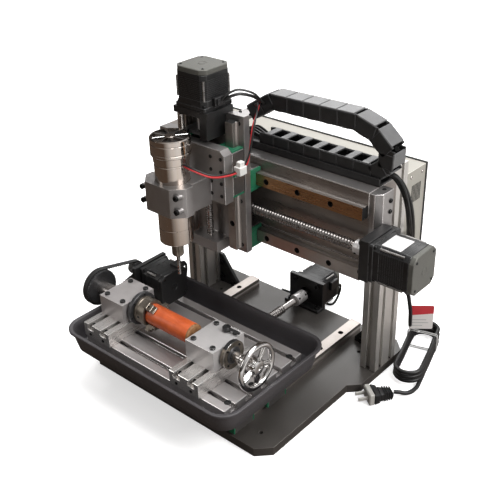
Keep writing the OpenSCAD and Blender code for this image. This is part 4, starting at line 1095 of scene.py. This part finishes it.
nut = Piece("collet_nut_steel")
nut.lathe((SPINDLE_X, SPINDLE_Y, 0), "z", [(0, 244.6), (6.4, 244.6), (8.6, 246.4), (9.3, 248.4), (9.3, 266.6),
                                           (8.4, 268.4), (0, 268.4)], "tool", 48,
          wobble=lambda q, a, w: q - (1.0 if q > 8.8 and (a % (PI / 4)) < 0.26 else 0))
nut.rod((SPINDLE_X, SPINDLE_Y, 0), "z", 7, 261, 289, "tool")
nut.done("spindle_rotor", "collet_nut", slot="tool_steel")
bit = Piece("end_mill")
bit.rod((SPINDLE_X, SPINDLE_Y, 0), "z", 3, 226, 246, "carbide")
bit.lathe((SPINDLE_X, SPINDLE_Y, 0), "z", [(0, 210.6)] + [(2.9, 210.7 + k * 0.8) for k in range(20)] + [(0, 226.4)],
          "carbide", 32,
          wobble=lambda q, a, w: q * (0.62 + 0.38 * abs(math.cos(a - w * 0.55)) ** 0.6))
bit.done("spindle_rotor", "cutter", slot="tool_steel")

# ---------------------------------------------------------------- floor and light

floor = bpy.data.objects.new("floor", bpy.data.meshes.new("floor"))
floor.data.from_pydata([(-12, -12, -0.0004), (12, -12, -0.0004), (12, 12, -0.0004), (-12, 12, -0.0004)], [],
                       [(0, 1, 2, 3)])
bpy.context.scene.collection.objects.link(floor)
floor_finish = bpy.data.materials.new("floor_pale")
floor_finish.use_nodes = True
ft = floor_finish.node_tree
ft.nodes.clear()
# The camera sees the floor evenly pale with a glow of its own. Every other ray sees a colour that runs from dark
# brown below object x 0.15 m to pale grey above 0.75 m. That is painted reflection for the metal to mirror, and
# painted shade in the light the floor bounces.
FLOOR_SEEN, FLOOR_PAINTED_REFLECTION = (0.95, 0.95, 0.95, 1), ((0.085, 0.062, 0.048, 1), (0.62, 0.61, 0.60, 1))
seen_shader, painted_reflection_shader = ft.nodes.new("ShaderNodeBsdfDiffuse"), ft.nodes.new("ShaderNodeBsdfDiffuse")
seen_shader.inputs["Color"].default_value = FLOOR_SEEN
place = ft.nodes.new("ShaderNodeTexCoord")
apart, side, tone = (ft.nodes.new(kind) for kind in ("ShaderNodeSeparateXYZ", "ShaderNodeMapRange", "ShaderNodeMix"))
side.inputs["From Min"].default_value, side.inputs["From Max"].default_value = 0.15, 0.75
tone.data_type = "RGBA"
tone.inputs["A"].default_value, tone.inputs["B"].default_value = FLOOR_PAINTED_REFLECTION
glow, both = ft.nodes.new("ShaderNodeEmission"), ft.nodes.new("ShaderNodeAddShader")
glow.inputs["Color"].default_value = FLOOR_SEEN
glow.inputs["Strength"].default_value = 0.56
ray, pick = ft.nodes.new("ShaderNodeLightPath"), ft.nodes.new("ShaderNodeMixShader")
floor_out = ft.nodes.new("ShaderNodeOutputMaterial")
for a, b in ((place.outputs["Object"], apart.inputs[0]), (apart.outputs["X"], side.inputs["Value"]),
             (side.outputs["Result"], tone.inputs["Factor"]), (tone.outputs["Result"], painted_reflection_shader.inputs["Color"]),
             (seen_shader.outputs[0], both.inputs[0]), (glow.outputs[0], both.inputs[1]),
             (ray.outputs["Is Camera Ray"], pick.inputs[0]), (painted_reflection_shader.outputs[0], pick.inputs[1]),
             (both.outputs[0], pick.inputs[2]), (pick.outputs[0], floor_out.inputs["Surface"])):
    ft.links.new(a, b)
floor.data.materials.append(floor_finish)


def light(name, place, target, size, power, color=(1, 1, 1)):
    lamp = bpy.data.lights.new(name, "AREA")
    lamp.shape = "RECTANGLE"
    lamp.size, lamp.size_y = size
    lamp.energy = power
    lamp.color = color
    o = bpy.data.objects.new(name, lamp)
    bpy.context.scene.collection.objects.link(o)
    o.location = place
    o.rotation_euler = (Vector(target) - Vector(place)).to_track_quat("-Z", "Y").to_euler()


MIDDLE = (0.0, 0.0, 0.2)
light("key", (2.1, 0.1, 1.8), MIDDLE, (1.1, 0.9), 40, (1.0, 0.985, 0.97))
light("top", (0.1, 0.3, 2.4), MIDDLE, (1.8, 1.4), 44)
light("front", (-1.5, -2.0, 1.2), MIDDLE, (0.7, 1.2), 8, (1.0, 0.975, 0.95))
light("back", (-1.2, 2.2, 1.6), MIDDLE, (1.6, 1.0), 22)

world = bpy.data.worlds.new("studio")
bpy.context.scene.world = world
world.use_nodes = True
wt = world.node_tree
background = wt.nodes["Background"]
background.inputs["Strength"].default_value = 1.0
sky_coord = wt.nodes.new("ShaderNodeTexCoord")
lean = wt.nodes.new("ShaderNodeVectorMath")
lean.operation = "DOT_PRODUCT"
lean.inputs[1].default_value = (0.42, 0.20, 0.80)
sky = wt.nodes.new("ShaderNodeValToRGB")
SKY = ((0.0, (0.10, 0.09, 0.082, 1)), (0.42, (0.030, 0.026, 0.024, 1)), (0.55, (0.07, 0.062, 0.058, 1)),
       (0.68, (0.26, 0.245, 0.235, 1)), (0.86, (0.70, 0.69, 0.69, 1)), (1.0, (0.85, 0.85, 0.86, 1)))
while len(sky.color_ramp.elements) < len(SKY):
    sky.color_ramp.elements.new(0.5)
for element, (position, shade) in zip(sky.color_ramp.elements, SKY):
    element.position, element.color = position, shade
lift = wt.nodes.new("ShaderNodeMapRange")
lift.inputs["From Min"].default_value = -1
wt.links.new(sky_coord.outputs["Generated"], lean.inputs[0])
wt.links.new(lean.outputs["Value"], lift.inputs["Value"])
wt.links.new(lift.outputs["Result"], sky.inputs["Fac"])
seen = wt.nodes.new("ShaderNodeLightPath")
pale = wt.nodes.new("ShaderNodeMix")
pale.data_type = "RGBA"
pale.inputs["B"].default_value = (1.0, 1.0, 1.0, 1)
wt.links.new(seen.outputs["Is Camera Ray"], pale.inputs["Factor"])
wt.links.new(sky.outputs["Color"], pale.inputs["A"])
wt.links.new(pale.outputs["Result"], background.inputs["Color"])

bpy.context.scene.view_settings.view_transform = "Standard"
bpy.context.scene.view_settings.exposure = 0.0
